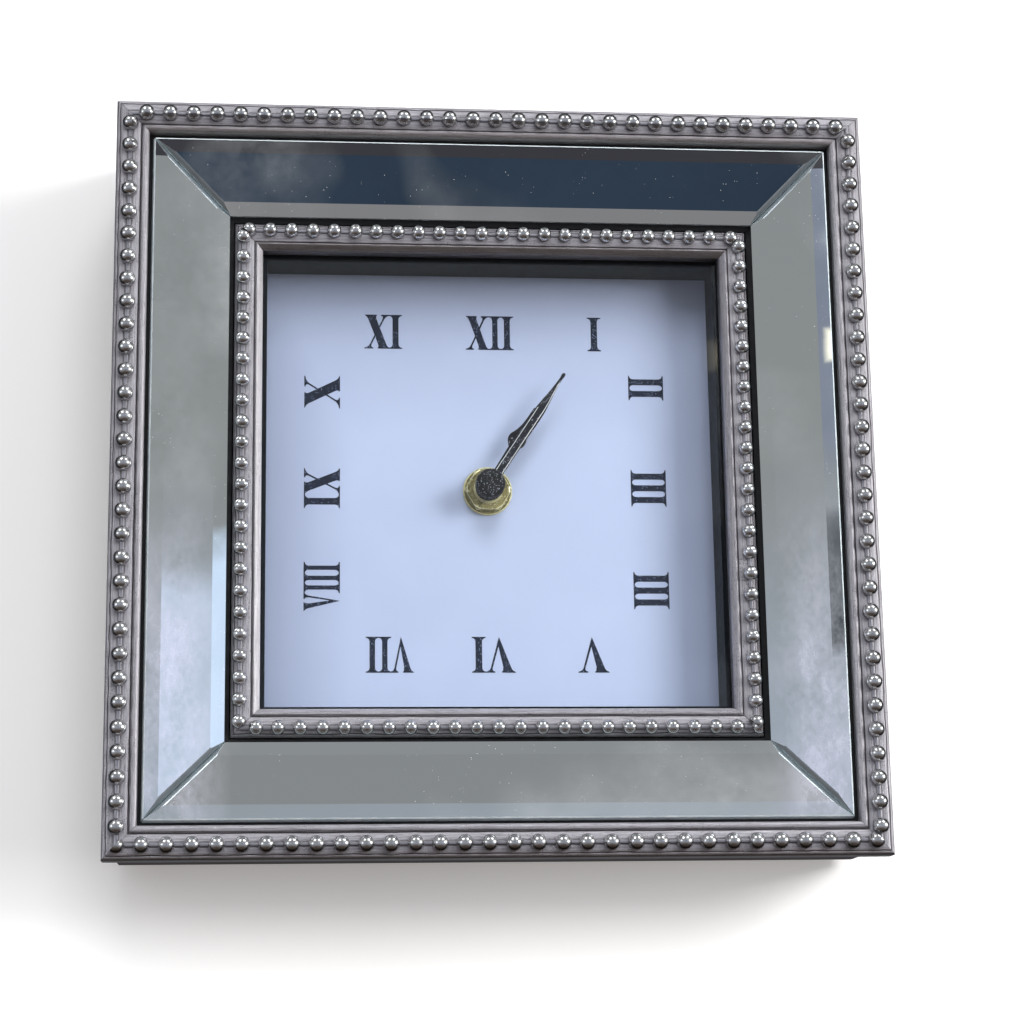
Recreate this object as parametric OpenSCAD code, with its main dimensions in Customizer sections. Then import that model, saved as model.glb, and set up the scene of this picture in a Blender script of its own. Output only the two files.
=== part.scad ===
// Square wall clock: two beaded mouldings with four bevelled mirror panels sloping between them,
// round a recessed square dial. Every piece is drawn with the clock lying on its back: X to the
// right, Y towards twelve o'clock, Z towards the viewer, and the line of the outer beads at Z 0.
// stand() then sets the clock upright on its lower edge, with the dial facing -Y.

/* [Outer moulding] */
// Width and height of the clock over its outer moulding
clock_w = 200; // [185:1:230]
// Width of the outer moulding
outer_w = 8.6; // [8.2:0.1:10]
// Depth of the outer moulding behind the bead line
outer_h = 8; // [7:0.1:10]
// Distance of the bead line from the outside edge
bead_inset = 3.7; // [3.4:0.1:4.2]
// Diameter of an outer bead
bead_d = 3.9; // [3:0.1:4.2]
// Distance from one outer bead to the next
bead_pitch = 6.17; // [5:0.01:8]
// Width of the lip next to the mirrors
lip_w = 1.5; // [1.2:0.1:1.8]

/* [Inner moulding] */
// Width of the inner moulding
inner_w = 7.5; // [7.2:0.1:8.5]
// Depth of the inner moulding behind its bead line
inner_h = 5.5; // [5:0.1:7]
// Distance of the inner bead line from that moulding's outside edge
inner_bead_inset = 2.4; // [2.2:0.1:2.8]
// Diameter of an inner bead
inner_bead_d = 3.5; // [2.8:0.1:3.8]
// Distance from one inner bead to the next
inner_bead_pitch = 5.62; // [4.5:0.01:7]
// Width of the sloping lip round the dial opening
inner_lip_w = 1.7; // [1.5:0.1:2]
// How far the inner bead line lies behind the outer one
dish = 6.5; // [5:0.1:9]

/* [Mirrors] */
// Width of a mirror panel, seen from the front
mirror_w = 19.9; // [16:0.1:26]
// Thickness of the mirror glass
mirror_t = 3; // [2.4:0.1:4]
// Width of the ground bevel along the long edges
bevel_w = 3.7; // [2:0.1:5]
// Width of the ground bevel along the mitred ends
end_bevel_w = 1.5; // [0.5:0.1:3]
// How much thinner the glass is at its bevelled edge
bevel_drop = 0.7; // [0.3:0.1:1.2]
// Gap between the outer moulding and the glass
mirror_gap = 1.4; // [0.8:0.1:2]
// Gap between the glass and the inner moulding
inner_gap = 1.3; // [0.8:0.1:2]
// How far the outer edge of the glass lies behind the outer bead line
mirror_sink = 2; // [1.5:0.1:3]

/* [Frame] */
// How far the frame's sides stand in from the outer moulding
side_inset = 2; // [1:0.1:3]
// Distance from the outer bead line to the back of the frame
frame_d = 41; // [38:0.5:50]
// Thickness of the frame's sides
rim_t = 10; // [8:0.5:12]
// Width of the wall round the dial recess
well_t = 8.8; // [8:0.1:11]
// Thickness of the wood under the inner moulding
bed_t = 8; // [6:0.5:10]
// Step by which the inner moulding overhangs the rebate and holds the glass
rebate_step = 2.9; // [2.4:0.1:3.6]

/* [Dial] */
// Thickness of the dial glass
glass_t = 1.8; // [1.6:0.1:2.4]
// Depth of the recess between the glass and the dial
recess_d = 11.4; // [11:0.1:20]
// Thickness of the recess lining
liner_t = 3.7; // [3:0.1:5]
// Thickness of the dial card
card_t = 0.4; // [0.2:0.1:1]
// Thickness of the dial board
board_t = 2.4; // [2:0.1:4]
// Play of the dial board in its rebate
board_play = 1.2; // [1:0.1:1.6]
// Where the dial sits in its rebate, to the right of the middle
dial_x = -0.9; // [-1:0.1:1]
// Where the dial sits in its rebate, above the middle
dial_y = -0.3; // [-1:0.1:1]
// Height of the numerals
numeral_h = 9.6; // [6:0.1:12]
// Distance from the middle of the dial to the middle line of the numerals
numeral_r = 44.4; // [38:0.1:48]
// Mean distance between neighbouring numerals on one side of the dial
numeral_gap = 27.8; // [24:0.1:31]

/* [Hands] */
// Length of the minute hand from its axis
minute_l = 37.6; // [30:0.1:38.5]
// Length of the hour hand from its axis
hour_l = 25.4; // [20:0.1:28]
// Direction of the minute hand, clockwise from twelve
minute_at = 33.5; // [0:0.5:360]
// Direction of the hour hand, clockwise from twelve
hour_at = 30.4; // [0:0.1:360]
// Thickness of a hand
hand_t = 0.4; // [0.3:0.1:0.6]
// Diameter of the cap nut over the hands
cap_d = 7.8; // [6:0.1:9]
// Height of the cap nut
cap_h = 4.2; // [3:0.1:4.4]

/* [Movement] */
// Thickness of the movement
case_d = 15.2; // [15.2:0.1:17]
// Thickness of the movement's walls
case_wall = 1.2; // [1:0.1:1.4]
// Thickness of the rubber ring in front of the movement
gasket_t = 0.6; // [0.4:0.1:1]
// Diameter of the threaded stem
stem_d = 7.9; // [7.5:0.1:8.1]
// Diameter of the battery
cell_d = 14; // [13.5:0.1:14.2]
// Length of the battery over its tip
cell_l = 50.5; // [49.5:0.1:52]
// Room beside the battery for both of its contacts
contact_room = 3.1; // [2.9:0.1:4]
// Room above the coil
head_room = 1.8; // [1:0.1:4]
// Diameter of the setting knob
knob_d = 12; // [9:0.1:12.4]

/* [Fittings] */
// Thickness of the pads behind the frame's corners
pad_t = 3.2; // [2:0.1:4]
// Diameter of the pads
pad_d = 9; // [6:0.5:9.5]
// Length of the turn buttons that hold the dial board
button_l = 13; // [12:0.5:16]
// Length of the saw-tooth hanger
hanger_l = 45; // [36:1:60]

/* [Fits] */
// Clearance round loosely seated flat pieces
slip = 0.3; // [0.1:0.05:0.5]
// Radial clearance of a turning fit
run = 0.05; // [0.02:0.01:0.1]
// Gap in the mitred corners of the mouldings
mitre_gap = 0.06; // [0.02:0.01:0.2]
// Thickness of a glue joint
glue = 0.05; // [0.02:0.01:0.1]

/* [Hidden] */
$fn = 64;

// Distances from the middle of the clock, from the outside in
outer_r = clock_w / 2;
outer_in = outer_r - outer_w;
outer_line = outer_r - bead_inset;
mirror_out = outer_in - mirror_gap;
mirror_in = mirror_out - mirror_w;
inner_r = mirror_in - inner_gap;
inner_in = inner_r - inner_w;
inner_line = inner_r - inner_bead_inset;
frame_r = outer_r - side_inset;
rim_r = frame_r - rim_t;
rebate_r = inner_in + rebate_step;
well_r = rebate_r + well_t;
liner_r = rebate_r - slip;
board_r = rebate_r - board_play;

// Heights, from the outer bead line back
inner_z = -dish;
outer_seat = -outer_h;
inner_seat = inner_z - inner_h;
glass_back = inner_seat - glass_t;
dial_z = glass_back - recess_d;
board_z = dial_z - card_t;
board_back = board_z - board_t;
hollow_z = inner_seat - bed_t;
rim_z = -frame_d;
pad_z = rim_z - pad_t;

// The glass leans inwards from its outer edge to the inner bead line
glass_lean = atan2(inner_z + mirror_sink, mirror_in - mirror_out) + 180;
glass_run = mirror_w / cos(glass_lean);
glass_low = mirror_t - bevel_drop;

// The clock's middle between its beads and its pads
stand_y = (bead_d / 2 + pad_z) / 2;

// Surface of the mouldings: beads and rib on a crest that falls away on both sides
crest_w = 0.8;
crest_sink = 0.55;
groove_w = 0.5;
groove_d = 0.7;
edge_r = 0.6;
rim_w = 1;
rim_fall = 1.2;
rib_w = 0.9;
rib_h = 0.45;
outer_shift = [0.5, 0.2, -2.5, 0.8];
inner_shift = [2.44, -2.18, 0.38, 2.64];

// Movement: a battery trough below a chamber for the wheels
case_z = board_back - gasket_t;
floor_t = 1;
floor_z = case_z - floor_t;
case_back = case_z - case_d;
lid_t = 1.2;
lid_z = case_back + lid_t;
cell_r = cell_d / 2;
cell_play = 0.5;
case_x = (cell_l + contact_room) / 2 + case_wall;
cell_z = floor_z - 0.1 - cell_r;
stem_r = stem_d / 2;
stem_hole = stem_r + 0.15;
stem_front = dial_z + 3.3;
washer_t = 0.6;
nut_t = 2.2;
nut_af = 11;
tube_r = 2.65;
arbor_r = 1.75;
hour_hand_z = dial_z + 4.6;
minute_hand_z = dial_z + 6.4;
cap_z = minute_hand_z + hand_t;
cap_hole = 1.4;
pin_r = 0.5;
hub_r = 1.3;

// Wheels: teeth, and module of each meshing pair
cannon_n = 12;
motion_n = 36;
motion_m = 0.5;
motion_pinion_n = 10;
hour_n = 40;
hour_m = motion_m * (cannon_n + motion_n) / (motion_pinion_n + hour_n);
third_pinion_n = 8;
centre_n = 64;
centre_m = 0.3;
seconds_pinion_n = 8;
third_n = 60;
third_m = centre_m * (third_pinion_n + centre_n) / (seconds_pinion_n + third_n);
inter_pinion_n = 8;
seconds_n = 48;
seconds_m = 0.3;
rotor_n = 8;
inter_n = 40;
inter_m = 0.25;

// Direction from one axis to the next, and the axes themselves
motion_dir = 140;
third_dir = 40;
inter_dir = 100;
rotor_dir = 75;
motion_at = polar((cannon_n + motion_n) * motion_m / 2, motion_dir);
third_at = polar((third_pinion_n + centre_n) * centre_m / 2, third_dir);
inter_at = polar((inter_pinion_n + seconds_n) * seconds_m / 2, inter_dir);
rotor_at = inter_at + polar((rotor_n + inter_n) * inter_m / 2, rotor_dir);
rotor_pin_r = 0.35;
magnet_r = 2.2;
stator_r = magnet_r + 1.4;
coil_r = 3.4;
coil_half = 8;
flange_r = coil_r + 0.3;
coil_y = rotor_at[1] + stator_r + coil_r + 0.23;
stator_arm = coil_half + 4;

// Walls of the movement round the wheels, the coil and the battery
wheel_room = 0.73;
chamber_low = -tip_r(centre_n, centre_m) - wheel_room;
chamber_top = coil_y + flange_r + head_room;
case_top = chamber_top + case_wall;
trough_top = chamber_low - case_wall;
trough_low = trough_top - cell_d - 2 * cell_play;
case_low = trough_low - case_wall;
cell_y = trough_top - cell_play - cell_r;
cell_end = case_x - case_wall - 1.2;
cell_start = cell_end - cell_l;
nipple_l = 1;
board_in = tip_r(hour_n, hour_m) + 3;

function polar(r, a) = [r * cos(a), r * sin(a)];

function tip_r(n, m) = n * m / 2 + 0.9 * m;

function bend(c, r, from, to, n = 4) = [for (i = [0:n]) c + polar(r, from + (to - from) * i / n)];

// Depth below the floor of the movement, as a height
function below(a) = floor_z - a;

// Section of a moulding as points of distance and height
function moulding(in, out, line, z, back, lip, lip_fall, in_fall, out_fall) = let (
    crest = z - crest_sink,
    lip_z = crest + 0.05) concat(
    [[in, back]],
    bend([in + edge_r, lip_z - lip_fall - edge_r], edge_r, 180, 110),
    [[in + lip - 0.1, lip_z]],
    [[in + lip, lip_z - 0.15]],
    [[in + lip + 0.1, lip_z - groove_d]],
    [[in + lip + groove_w - 0.1, lip_z - groove_d]],
    [[in + lip + groove_w, crest - in_fall]],
    [[line - crest_w / 2, crest], [line + crest_w / 2, crest]],
    [[out - rim_w, crest - out_fall]],
    bend([out - 0.8, crest - out_fall - rim_fall], 0.8, 70, 0),
    [[out, back]]);

function outer_section() = moulding(outer_in, outer_r, outer_line, 0, outer_seat, lip_w, 0.1, 0.65, 1.2);
function inner_section() =
    moulding(inner_in, inner_r, inner_line, inner_z, inner_seat, inner_lip_w, 1.1, 0.5, 0.8);

// A point of the mirror glass: s along its slope from the inner edge, h out of its edge's surface
function on_glass(s, h) = [mirror_in + s * cos(glass_lean) - h * sin(glass_lean),
    inner_z + s * sin(glass_lean) + h * cos(glass_lean)];

// Height of the bed under the glass at distance r
function bed(r) = let (p = on_glass(0, -glass_low - glue)) p[1] + (r - p[0]) * tan(glass_lean);

module stand() {
    translate([0, stand_y, outer_r])
        rotate([90, 0, 0])
            children();
}

// Side 0 is the top one, and the sides follow clockwise
module side(k) {
    rotate([0, 0, -90 * k])
        children();
}

module dial() {
    translate([dial_x, dial_y, 0])
        children();
}

// What lies between the two mitres of the top side
module mitre(gap) {
    far = outer_r + 5;
    translate([0, 0, pad_z - 5])
        linear_extrude(10 - pad_z)
            polygon([[0, gap], [far, far + gap], [-far, far + gap]]);
}

module bar(section) {
    rotate([90, 0, 90])
        linear_extrude(2 * outer_r + 4, center = true)
            polygon(section);
}

module mitred(section, gap = mitre_gap) {
    intersection() {
        bar(section);
        mitre(gap);
    }
}

module box(x, y, z) {
    translate([x[0], y[0], z[0]])
        cube([x[1] - x[0], y[1] - y[0], z[1] - z[0]]);
}

module disc(r, z0, z1) {
    translate([0, 0, min(z0, z1)])
        cylinder(r = r, h = abs(z1 - z0));
}

module ring(r, hole, z0, z1) {
    difference() {
        disc(r, z0, z1);
        disc(hole, min(z0, z1) - 1, max(z0, z1) + 1);
    }
}

module outer_rail(k) {
    color("#9b98a0")
        side(k)
            mitred(outer_section());
}

module inner_rail(k) {
    color("#97939a")
        side(k)
            mitred(inner_section());
}

// Beads strung on a thin rib along the crest, seated on the moulding and cut with its mitres
module beads(line, z, d, pitch, shift, section) {
    reach = line + d * 0.3;
    count = ceil(2 * line / pitch);
    intersection() {
        difference() {
            union() {
                for (i = [-count:count])
                    if (abs(shift + i * pitch) < reach)
                        translate([shift + i * pitch, line, z])
                            sphere(d = d, $fn = 32);
                translate([-line, line - rib_w / 2, z - crest_sink - 0.1])
                    cube([2 * line, rib_w, rib_h + 0.1]);
            }
            bar(section);
        }
        mitre(mitre_gap);
    }
}

module outer_beads(k) {
    color("#8a857c")
        side(k)
            beads(outer_line, 0, bead_d, bead_pitch, outer_shift[k], outer_section());
}

module inner_beads(k) {
    color("#8a857c")
        side(k)
            beads(inner_line, inner_z, inner_bead_d, inner_bead_pitch, inner_shift[k], inner_section());
}

// A trapezoid of glass with a wide ground bevel on its long edges and a narrow one on its ends
module mirror_panel(k) {
    levels = [[0, -glass_low, 0], [0, 0, 0], [bevel_w, bevel_drop, end_bevel_w * sqrt(2)]];
    points = [for (level = levels)
        for (corner = [[0, -1], [0, 1], [1, 1], [1, -1]])
            let (s = corner[0] == 0 ? level[0] : glass_run - level[0],
                p = on_glass(s, level[1]))
                [corner[1] * (p[0] - mitre_gap * 2 - level[2]), p[0], p[1]]];
    color("#8f9a9c")
        side(k)
            polyhedron(points, [[0, 1, 2, 3], [4, 5, 1, 0], [5, 6, 2, 1], [6, 7, 3, 2], [7, 4, 0, 3],
                [8, 9, 5, 4], [9, 10, 6, 5], [10, 11, 7, 6], [11, 8, 4, 7], [11, 10, 9, 8]]);
}

// Sloping bed for a mirror, seats for both mouldings, rebate for the dial and a rim behind
module frame_rail(k) {
    step_out = outer_in - glue;
    step_in = inner_r + glue * 4;
    color("#5a4a42")
        side(k)
            difference() {
                mitred([[frame_r, outer_seat], [step_out, outer_seat], [step_out, bed(step_out)],
                    [step_in, bed(step_in)], [step_in, inner_seat], [rebate_r, inner_seat],
                    [rebate_r, board_back], [well_r, board_back], [well_r, hollow_z],
                    [rim_r, hollow_z], [rim_r, rim_z], [frame_r, rim_z]], 0);
                translate([0, button_y, 0])
                    disc(screw_r + run, board_back - 1, board_back + screw_l + 1);
                if (k == 0)
                    for (x = nail_x)
                        translate([x, hanger_y, 0])
                            disc(nail_r + run, rim_z - 1, rim_z + nail_l + 0.5);
            }
}

module dial_glass() {
    r = rebate_r - slip;
    color("#dfe9ee", 0.25)
        box([-r, r], [-r, r], [glass_back, inner_seat]);
}

module recess_liner() {
    r = liner_r;
    opening = liner_r - liner_t;
    color("#30383c")
        difference() {
            box([-r, r], [-r, r], [dial_z, glass_back]);
            box([-opening, opening], [-opening, opening], [dial_z - 1, glass_back + 1]);
        }
}

module dial_card() {
    color("#e8ebf7")
        dial()
            difference() {
                box([-board_r, board_r], [-board_r, board_r], [board_z, dial_z]);
                disc(stem_hole + 0.1, board_z - 1, dial_z + 1);
            }
}

module dial_board() {
    color("#b39468")
        dial()
            difference() {
                box([-board_r, board_r], [-board_r, board_r], [board_back, board_z]);
                disc(stem_hole + 0.1, board_back - 1, board_z + 1);
            }
}

// Numeral strokes end in a thin slab with hollow brackets below it
serif_over = 1;
serif_slab = 0.28;
bracket_h = 0.95;
hair_w = 0.5;

// Serif at height side * h for a stroke w wide that leans sideways by lean for each unit inwards
module serif(x, w, over, side, lean) {
    h = numeral_h / 2;
    function depth(t) = serif_slab + bracket_h * (1 - cos(t));
    function reach(t) = w / 2 + over * (1 - sin(t));
    polygon(concat([[x + w / 2 + over, side * h], [x - w / 2 - over, side * h]],
        [for (t = [0:30:90]) [x - reach(t) + lean * depth(t), side * (h - depth(t))]],
        [for (t = [90:-30:0]) [x + reach(t) + lean * depth(t), side * (h - depth(t))]]));
}

module stem(x, w) {
    translate([x - w / 2, -numeral_h / 2])
        square([w, numeral_h]);
    for (side = [-1, 1])
        serif(x, w, serif_over, side, 0);
}

// Slanting stroke from x0 at the top to x1 at the bottom, w wide along the line
module slant(x0, x1, w, over) {
    h = numeral_h / 2;
    lean = (x1 - x0) / numeral_h;
    polygon([[x0 - w / 2, h], [x0 + w / 2, h], [x1 + w / 2, -h], [x1 - w / 2, -h]]);
    serif(x0, w, over, 1, lean);
    serif(x1, w, over, -1, -lean);
}

module ex(x, w) {
    slant(x - w * 0.265, x + w * 0.265, w * 0.33, w * 0.075);
    slant(x + w * 0.34, x - w * 0.36, hair_w, w * 0.14);
}

// The two strokes of a V meet in one point at the bottom
module vee(x, w) {
    h = numeral_h / 2;
    foot = 2.6;
    heavy = w * 0.29;
    polygon([[x - w * 0.41, h], [x - w * 0.41 + heavy, h], [x + w * 0.085, foot - h],
        [x + w * 0.4 - hair_w, h], [x + w * 0.4, h], [x + w * 0.065, -h]]);
    serif(x - w * 0.41 + heavy / 2, heavy, w * 0.09, 1, w * 0.49 / numeral_h);
    serif(x + w * 0.4 - hair_w / 2, hair_w, w * 0.13, 1, -w * 0.33 / numeral_h);
}

// One numeral as a row of strokes: kind, middle and width of each
module numeral(strokes) {
    for (s = strokes) {
        if (s[0] == "I")
            stem(s[1], s[2]);
        if (s[0] == "V")
            vee(s[1], s[2]);
        if (s[0] == "X")
            ex(s[1], s[2]);
    }
}

// Each row is printed a little out of place: outwards, along the row, and in its spacing
row = [[0.1, 1.07, 1], [-0.6, -1.23, 0.4], [0, -0.73, -0.65], [0, 0.8, -1]];

// The four o'clock place carries the same three strokes as three o'clock, as on the real dial
module dial_numerals() {
    three = [["I", -3.25, 1.65], ["I", 0, 1.65], ["I", 3.25, 1.65]];
    sides = [
        [[["X", -1.75, 6.7], ["I", 3.2, 1.6]],
            [["X", -3.2, 6.2], ["I", 1.55, 1.45], ["I", 4.85, 1.6]],
            [["I", 0, 1.75]]],
        [[["I", -1.6, 1.65], ["I", 1.7, 1.65]], three, three],
        [[["V", 0, 8.1]],
            [["V", -2.3, 7.8], ["I", 3.6, 1.75]],
            [["V", -3.3, 6], ["I", 1.35, 1.4], ["I", 4.65, 1.45]]],
        [[["V", -4.3, 4.9], ["I", -0.4, 1.1], ["I", 2.2, 1.15], ["I", 4.95, 1.1]],
            [["I", -3.75, 1.8], ["X", 1.7, 7.2]],
            [["X", -0.25, 8.9]]]];
    color("#1c2130")
        dial()
            translate([0, 0, dial_z])
                linear_extrude(0.06)
                    for (k = [0:3])
                        rotate(-90 * k)
                            for (i = [0:2])
                                translate([row[k][1] + (i - 1) * (numeral_gap + row[k][2]), 0])
                                    translate([0, numeral_r + row[k][0]])
                                        numeral(sides[k][i]);
}

screw_r = 1.4;
screw_l = 8;
button_w = 7;
button_t = 1.2;
button_gap = 0.1;
button_y = well_r - 4.5;

// A leaf that turns on its screw and laps over the edge of the dial board
module turn_button(k) {
    z = board_back - button_gap;
    color("#b8a060")
        side(k)
            translate([0, button_y, 0])
                difference() {
                    union() {
                        disc(button_w / 2, z, z - button_t);
                        translate([0, button_w / 2 - button_l, 0])
                            disc(button_w / 2, z, z - button_t);
                        box([-button_w / 2, button_w / 2], [button_w / 2 - button_l, 0], [z - button_t, z]);
                    }
                    disc(screw_r + run, z + 1, z - button_t - 1);
                }
}

module button_screws() {
    z = board_back - button_gap - button_t - button_gap;
    color("#c9c9c4")
        for (k = [0:3])
            side(k)
                translate([0, button_y, 0])
                    difference() {
                        union() {
                            disc(screw_r, z, board_back + screw_l);
                            disc(screw_r * 2, z, z - 1.5);
                        }
                        box([-0.3, 0.3], [-5, 5], [z - 2, z - 0.9]);
                        box([-5, 5], [-0.3, 0.3], [z - 2, z - 0.9]);
                    }
}

module corner_pads() {
    r = (frame_r + rim_r) / 2;
    color("#d8d4ca")
        for (x = [-r, r])
            for (y = [-r, r])
                translate([x, y, 0])
                    disc(pad_d / 2, pad_z, rim_z);
}

nail_r = 0.7;
nail_l = 8;
nail_x = [4 - hanger_l / 2, hanger_l / 2 - 4];
hanger_h = 8;
hanger_y = rim_r + 4.6;
hanger_t = 0.8;
hanger_rise = 1.4;

// A strip of steel that bows away from the rim between its two nails, with teeth along its lower edge
module hanger() {
    half = hanger_l / 2;
    tooth = 2;
    teeth = floor((hanger_l - 24) / 2 / tooth);
    z = rim_z;
    color("#c4c2b8")
        difference() {
            translate([0, hanger_y + 4, 0])
                rotate([90, 0, 0])
                    linear_extrude(hanger_h)
                        polygon([[-half, z], [8 - half, z], [11 - half, z - hanger_rise],
                            [half - 11, z - hanger_rise], [half - 8, z], [half, z],
                            [half, z - hanger_t], [half - 8, z - hanger_t],
                            [half - 11, z - hanger_rise - hanger_t], [11 - half, z - hanger_rise - hanger_t],
                            [8 - half, z - hanger_t], [-half, z - hanger_t]]);
            for (i = [-teeth:teeth])
                translate([i * tooth, hanger_y + 4 - hanger_h, z - 5])
                    linear_extrude(5)
                        polygon([[-tooth / 2, -1], [tooth / 2, -1], [tooth / 2, 0],
                            [0, 1.6], [-tooth / 2, 0]]);
            for (x = nail_x)
                translate([x, hanger_y, 0])
                    disc(nail_r + run, z + 1, z - 2);
        }
}

module hanger_nails() {
    z = rim_z - hanger_t;
    color("#b9b7ae")
        for (x = nail_x)
            translate([x, hanger_y, 0]) {
                disc(nail_r, z, rim_z + nail_l);
                disc(nail_r * 2.4, z, z - 0.6);
            }
}

// Front shell of the movement, with the battery trough open to the back
module movement_case() {
    inner = case_x - case_wall;
    color("#202124")
        dial() {
            difference() {
                box([-case_x, case_x], [case_low, case_top], [case_back, case_z]);
                box([-inner, inner], [chamber_low, chamber_top], [case_back - 1, floor_z]);
                box([-inner, inner], [trough_low, trough_top], [case_back - 1, floor_z]);
                box([-case_x - 1, case_x + 1], [trough_top, case_top + 1], [case_back - 1, lid_z]);
                disc(stem_hole, floor_z - 1, case_z + 1);
            }
            translate(motion_at)
                disc(pin_r, floor_z, below(1.4));
            for (y = [chamber_low + 4.6, motion_at[1]])
                translate([(board_in + inner) / 2, y, 0])
                    disc(1, floor_z, below(0.8));
        }
}

// Rear lid with the pins on which the wheels turn, and the hole for the setting knob
module movement_lid() {
    rim_x = case_x - case_wall - slip;
    rim_y = [chamber_low + slip, chamber_top - slip];
    rim_w = 0.8;
    color("#26272b")
        dial() {
            difference() {
                union() {
                    box([-case_x, case_x], [trough_top, case_top], [case_back, lid_z]);
                    difference() {
                        box([-rim_x, rim_x], rim_y, [lid_z, lid_z + 1]);
                        box([rim_w - rim_x, rim_x - rim_w], [rim_y[0] + rim_w, rim_y[1] - rim_w],
                            [lid_z, lid_z + 2]);
                    }
                }
                translate(motion_at)
                    disc(knob_d / 2 + 0.15, case_back - 1, lid_z + 1);
            }
            disc(pin_r, lid_z, below(5.1));
            translate(third_at)
                disc(pin_r, lid_z, below(3.8));
            translate(inter_at)
                disc(pin_r, lid_z, below(7.8));
            translate(rotor_at)
                disc(rotor_pin_r, lid_z, below(8.6));
            for (x = [-stator_arm, stator_arm])
                translate([x, coil_y, 0])
                    disc(1.4, lid_z, below(10));
        }
}

module stem_bushing() {
    color("#c9a84a")
        dial()
            difference() {
                union() {
                    disc(stem_r, below(0.5), stem_front);
                    disc(5.5, floor_z, below(0.5));
                }
                disc(tube_r + run, below(0.5) - 1, stem_front + 1);
            }
}

module gasket() {
    color("#1b1b1b")
        dial()
            ring(12, stem_hole, case_z, board_back);
}

module washer() {
    color("#c8a848")
        dial()
            ring(6.65, stem_hole, dial_z, dial_z + washer_t);
}

module hex_nut() {
    z = dial_z + washer_t;
    color("#b89638")
        dial()
            difference() {
                intersection() {
                    translate([0, 0, z])
                        cylinder(d = nut_af / cos(30), h = nut_t, $fn = 6);
                    translate([0, 0, z])
                        rotate_extrude()
                            polygon([[0, 0], [nut_af / 2 + 0.3, 0], [nut_af / 2 + 0.9, 0.35],
                                [nut_af / 2 + 0.9, nut_t - 0.35], [nut_af / 2 + 0.3, nut_t], [0, nut_t]]);
                }
                disc(stem_r + glue, z - 1, z + nut_t + 1);
            }
}

// Toothed wheel with a tooth at angle phase
module gear(n, m, phase, z, t, hole = 0) {
    r = n * m / 2;
    flank = [[r - 1.15 * m, -0.26], [r, -0.2], [r + 0.9 * m, -0.09],
        [r + 0.9 * m, 0.09], [r, 0.2], [r - 1.15 * m, 0.26]];
    difference() {
        translate([0, 0, z - t])
            linear_extrude(t)
                polygon([for (i = [0:n - 1]) for (p = flank) polar(p[0], phase + (i + p[1]) * 360 / n)]);
        if (hole > 0)
            disc(hole, z - t - 1, z + 1);
    }
}

// Minute shaft with the pinion that drives the hour work
module minute_arbor() {
    color("#c9b060")
        dial()
            difference() {
                union() {
                    disc(arbor_r, below(2.2), minute_hand_z - 0.1);
                    disc(cap_hole, minute_hand_z - 0.1, cap_z + cap_h - 1.2);
                    gear(cannon_n, motion_m, motion_dir, below(2.2), 1.5);
                    disc(1.2, below(3.7), below(5.9));
                }
                disc(pin_r + run, below(5.9) - 1, below(4.9));
            }
}

module centre_wheel() {
    color("#d8d4c0")
        dial() {
            gear(centre_n, centre_m, third_dir + 180 / centre_n, below(4.4), 0.8, 1.2 + run);
            ring(2.2, 1.2 + run, below(3.9), below(5.7));
        }
}

module hour_wheel() {
    color("#e4e2da")
        dial() {
            gear(hour_n, hour_m, motion_dir + 180 / hour_n, below(0.8), 0.8, arbor_r + run);
            ring(tube_r, arbor_r + run, below(1.6), hour_hand_z + 0.7);
        }
}

module motion_wheel() {
    color("#e4e2da")
        dial()
            translate(motion_at)
                difference() {
                    union() {
                        gear(motion_n, motion_m, motion_dir + 180 + 180 / motion_n, below(2.4), 0.9);
                        gear(motion_pinion_n, hour_m, motion_dir + 180, below(0.6), 1.8);
                        disc(1, below(0.3), below(11.8));
                    }
                    disc(pin_r + run, floor_z, below(1.6));
                }
}

module third_wheel() {
    color("#e4e2da")
        dial()
            translate(third_at) {
                gear(third_pinion_n, centre_m, third_dir + 180, below(4), 1.4, pin_r + run);
                gear(third_n, third_m, third_dir + 180 + 180 / third_n, below(6.6), 0.8, pin_r + run);
                ring(0.82, pin_r + run, below(5.4), below(6.6));
                ring(hub_r, pin_r + run, below(7.4), lid_z + 0.2);
            }
}

module seconds_wheel() {
    color("#e4e2da")
        dial() {
            gear(seconds_pinion_n, third_m, third_dir, below(6.3), 1.4, pin_r + run);
            gear(seconds_n, seconds_m, inter_dir + 180 / seconds_n, below(8.4), 0.8, pin_r + run);
            ring(hub_r, pin_r + run, below(7.7), lid_z + 0.2);
        }
}

module intermediate_wheel() {
    color("#e4e2da")
        dial()
            translate(inter_at) {
                gear(inter_pinion_n, seconds_m, inter_dir + 180, below(8.2), 1.4, pin_r + run);
                gear(inter_n, inter_m, rotor_dir + 180 / inter_n, below(10.2), 0.8, pin_r + run);
                ring(hub_r, pin_r + run, below(9.6), lid_z + 0.2);
            }
}

module rotor() {
    color("#55585c")
        dial()
            translate(rotor_at) {
                ring(magnet_r, rotor_pin_r + run, below(8), below(9.6));
                gear(rotor_n, inter_m, rotor_dir + 180, below(9.6), 1.8, rotor_pin_r + run);
                ring(0.7, rotor_pin_r + run, below(11.4), lid_z + 0.2);
            }
}

// Steel plate that leads the coil's field round the rotor
module stator() {
    w = 3;
    z = below(9.2);
    bar_y = [rotor_at[1] - w / 2, rotor_at[1] + w / 2];
    color("#a9abad")
        dial()
            difference() {
                union() {
                    translate(rotor_at)
                        disc(stator_r, z, z + 0.8);
                    box([-stator_arm, stator_arm], bar_y, [z, z + 0.8]);
                    for (x = [-stator_arm, stator_arm])
                        box([x - w / 2, x + w / 2], [bar_y[0], coil_y + w / 2], [z, z + 0.8]);
                }
                translate(rotor_at)
                    disc(magnet_r + 0.3, z - 1, z + 2);
            }
}

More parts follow.
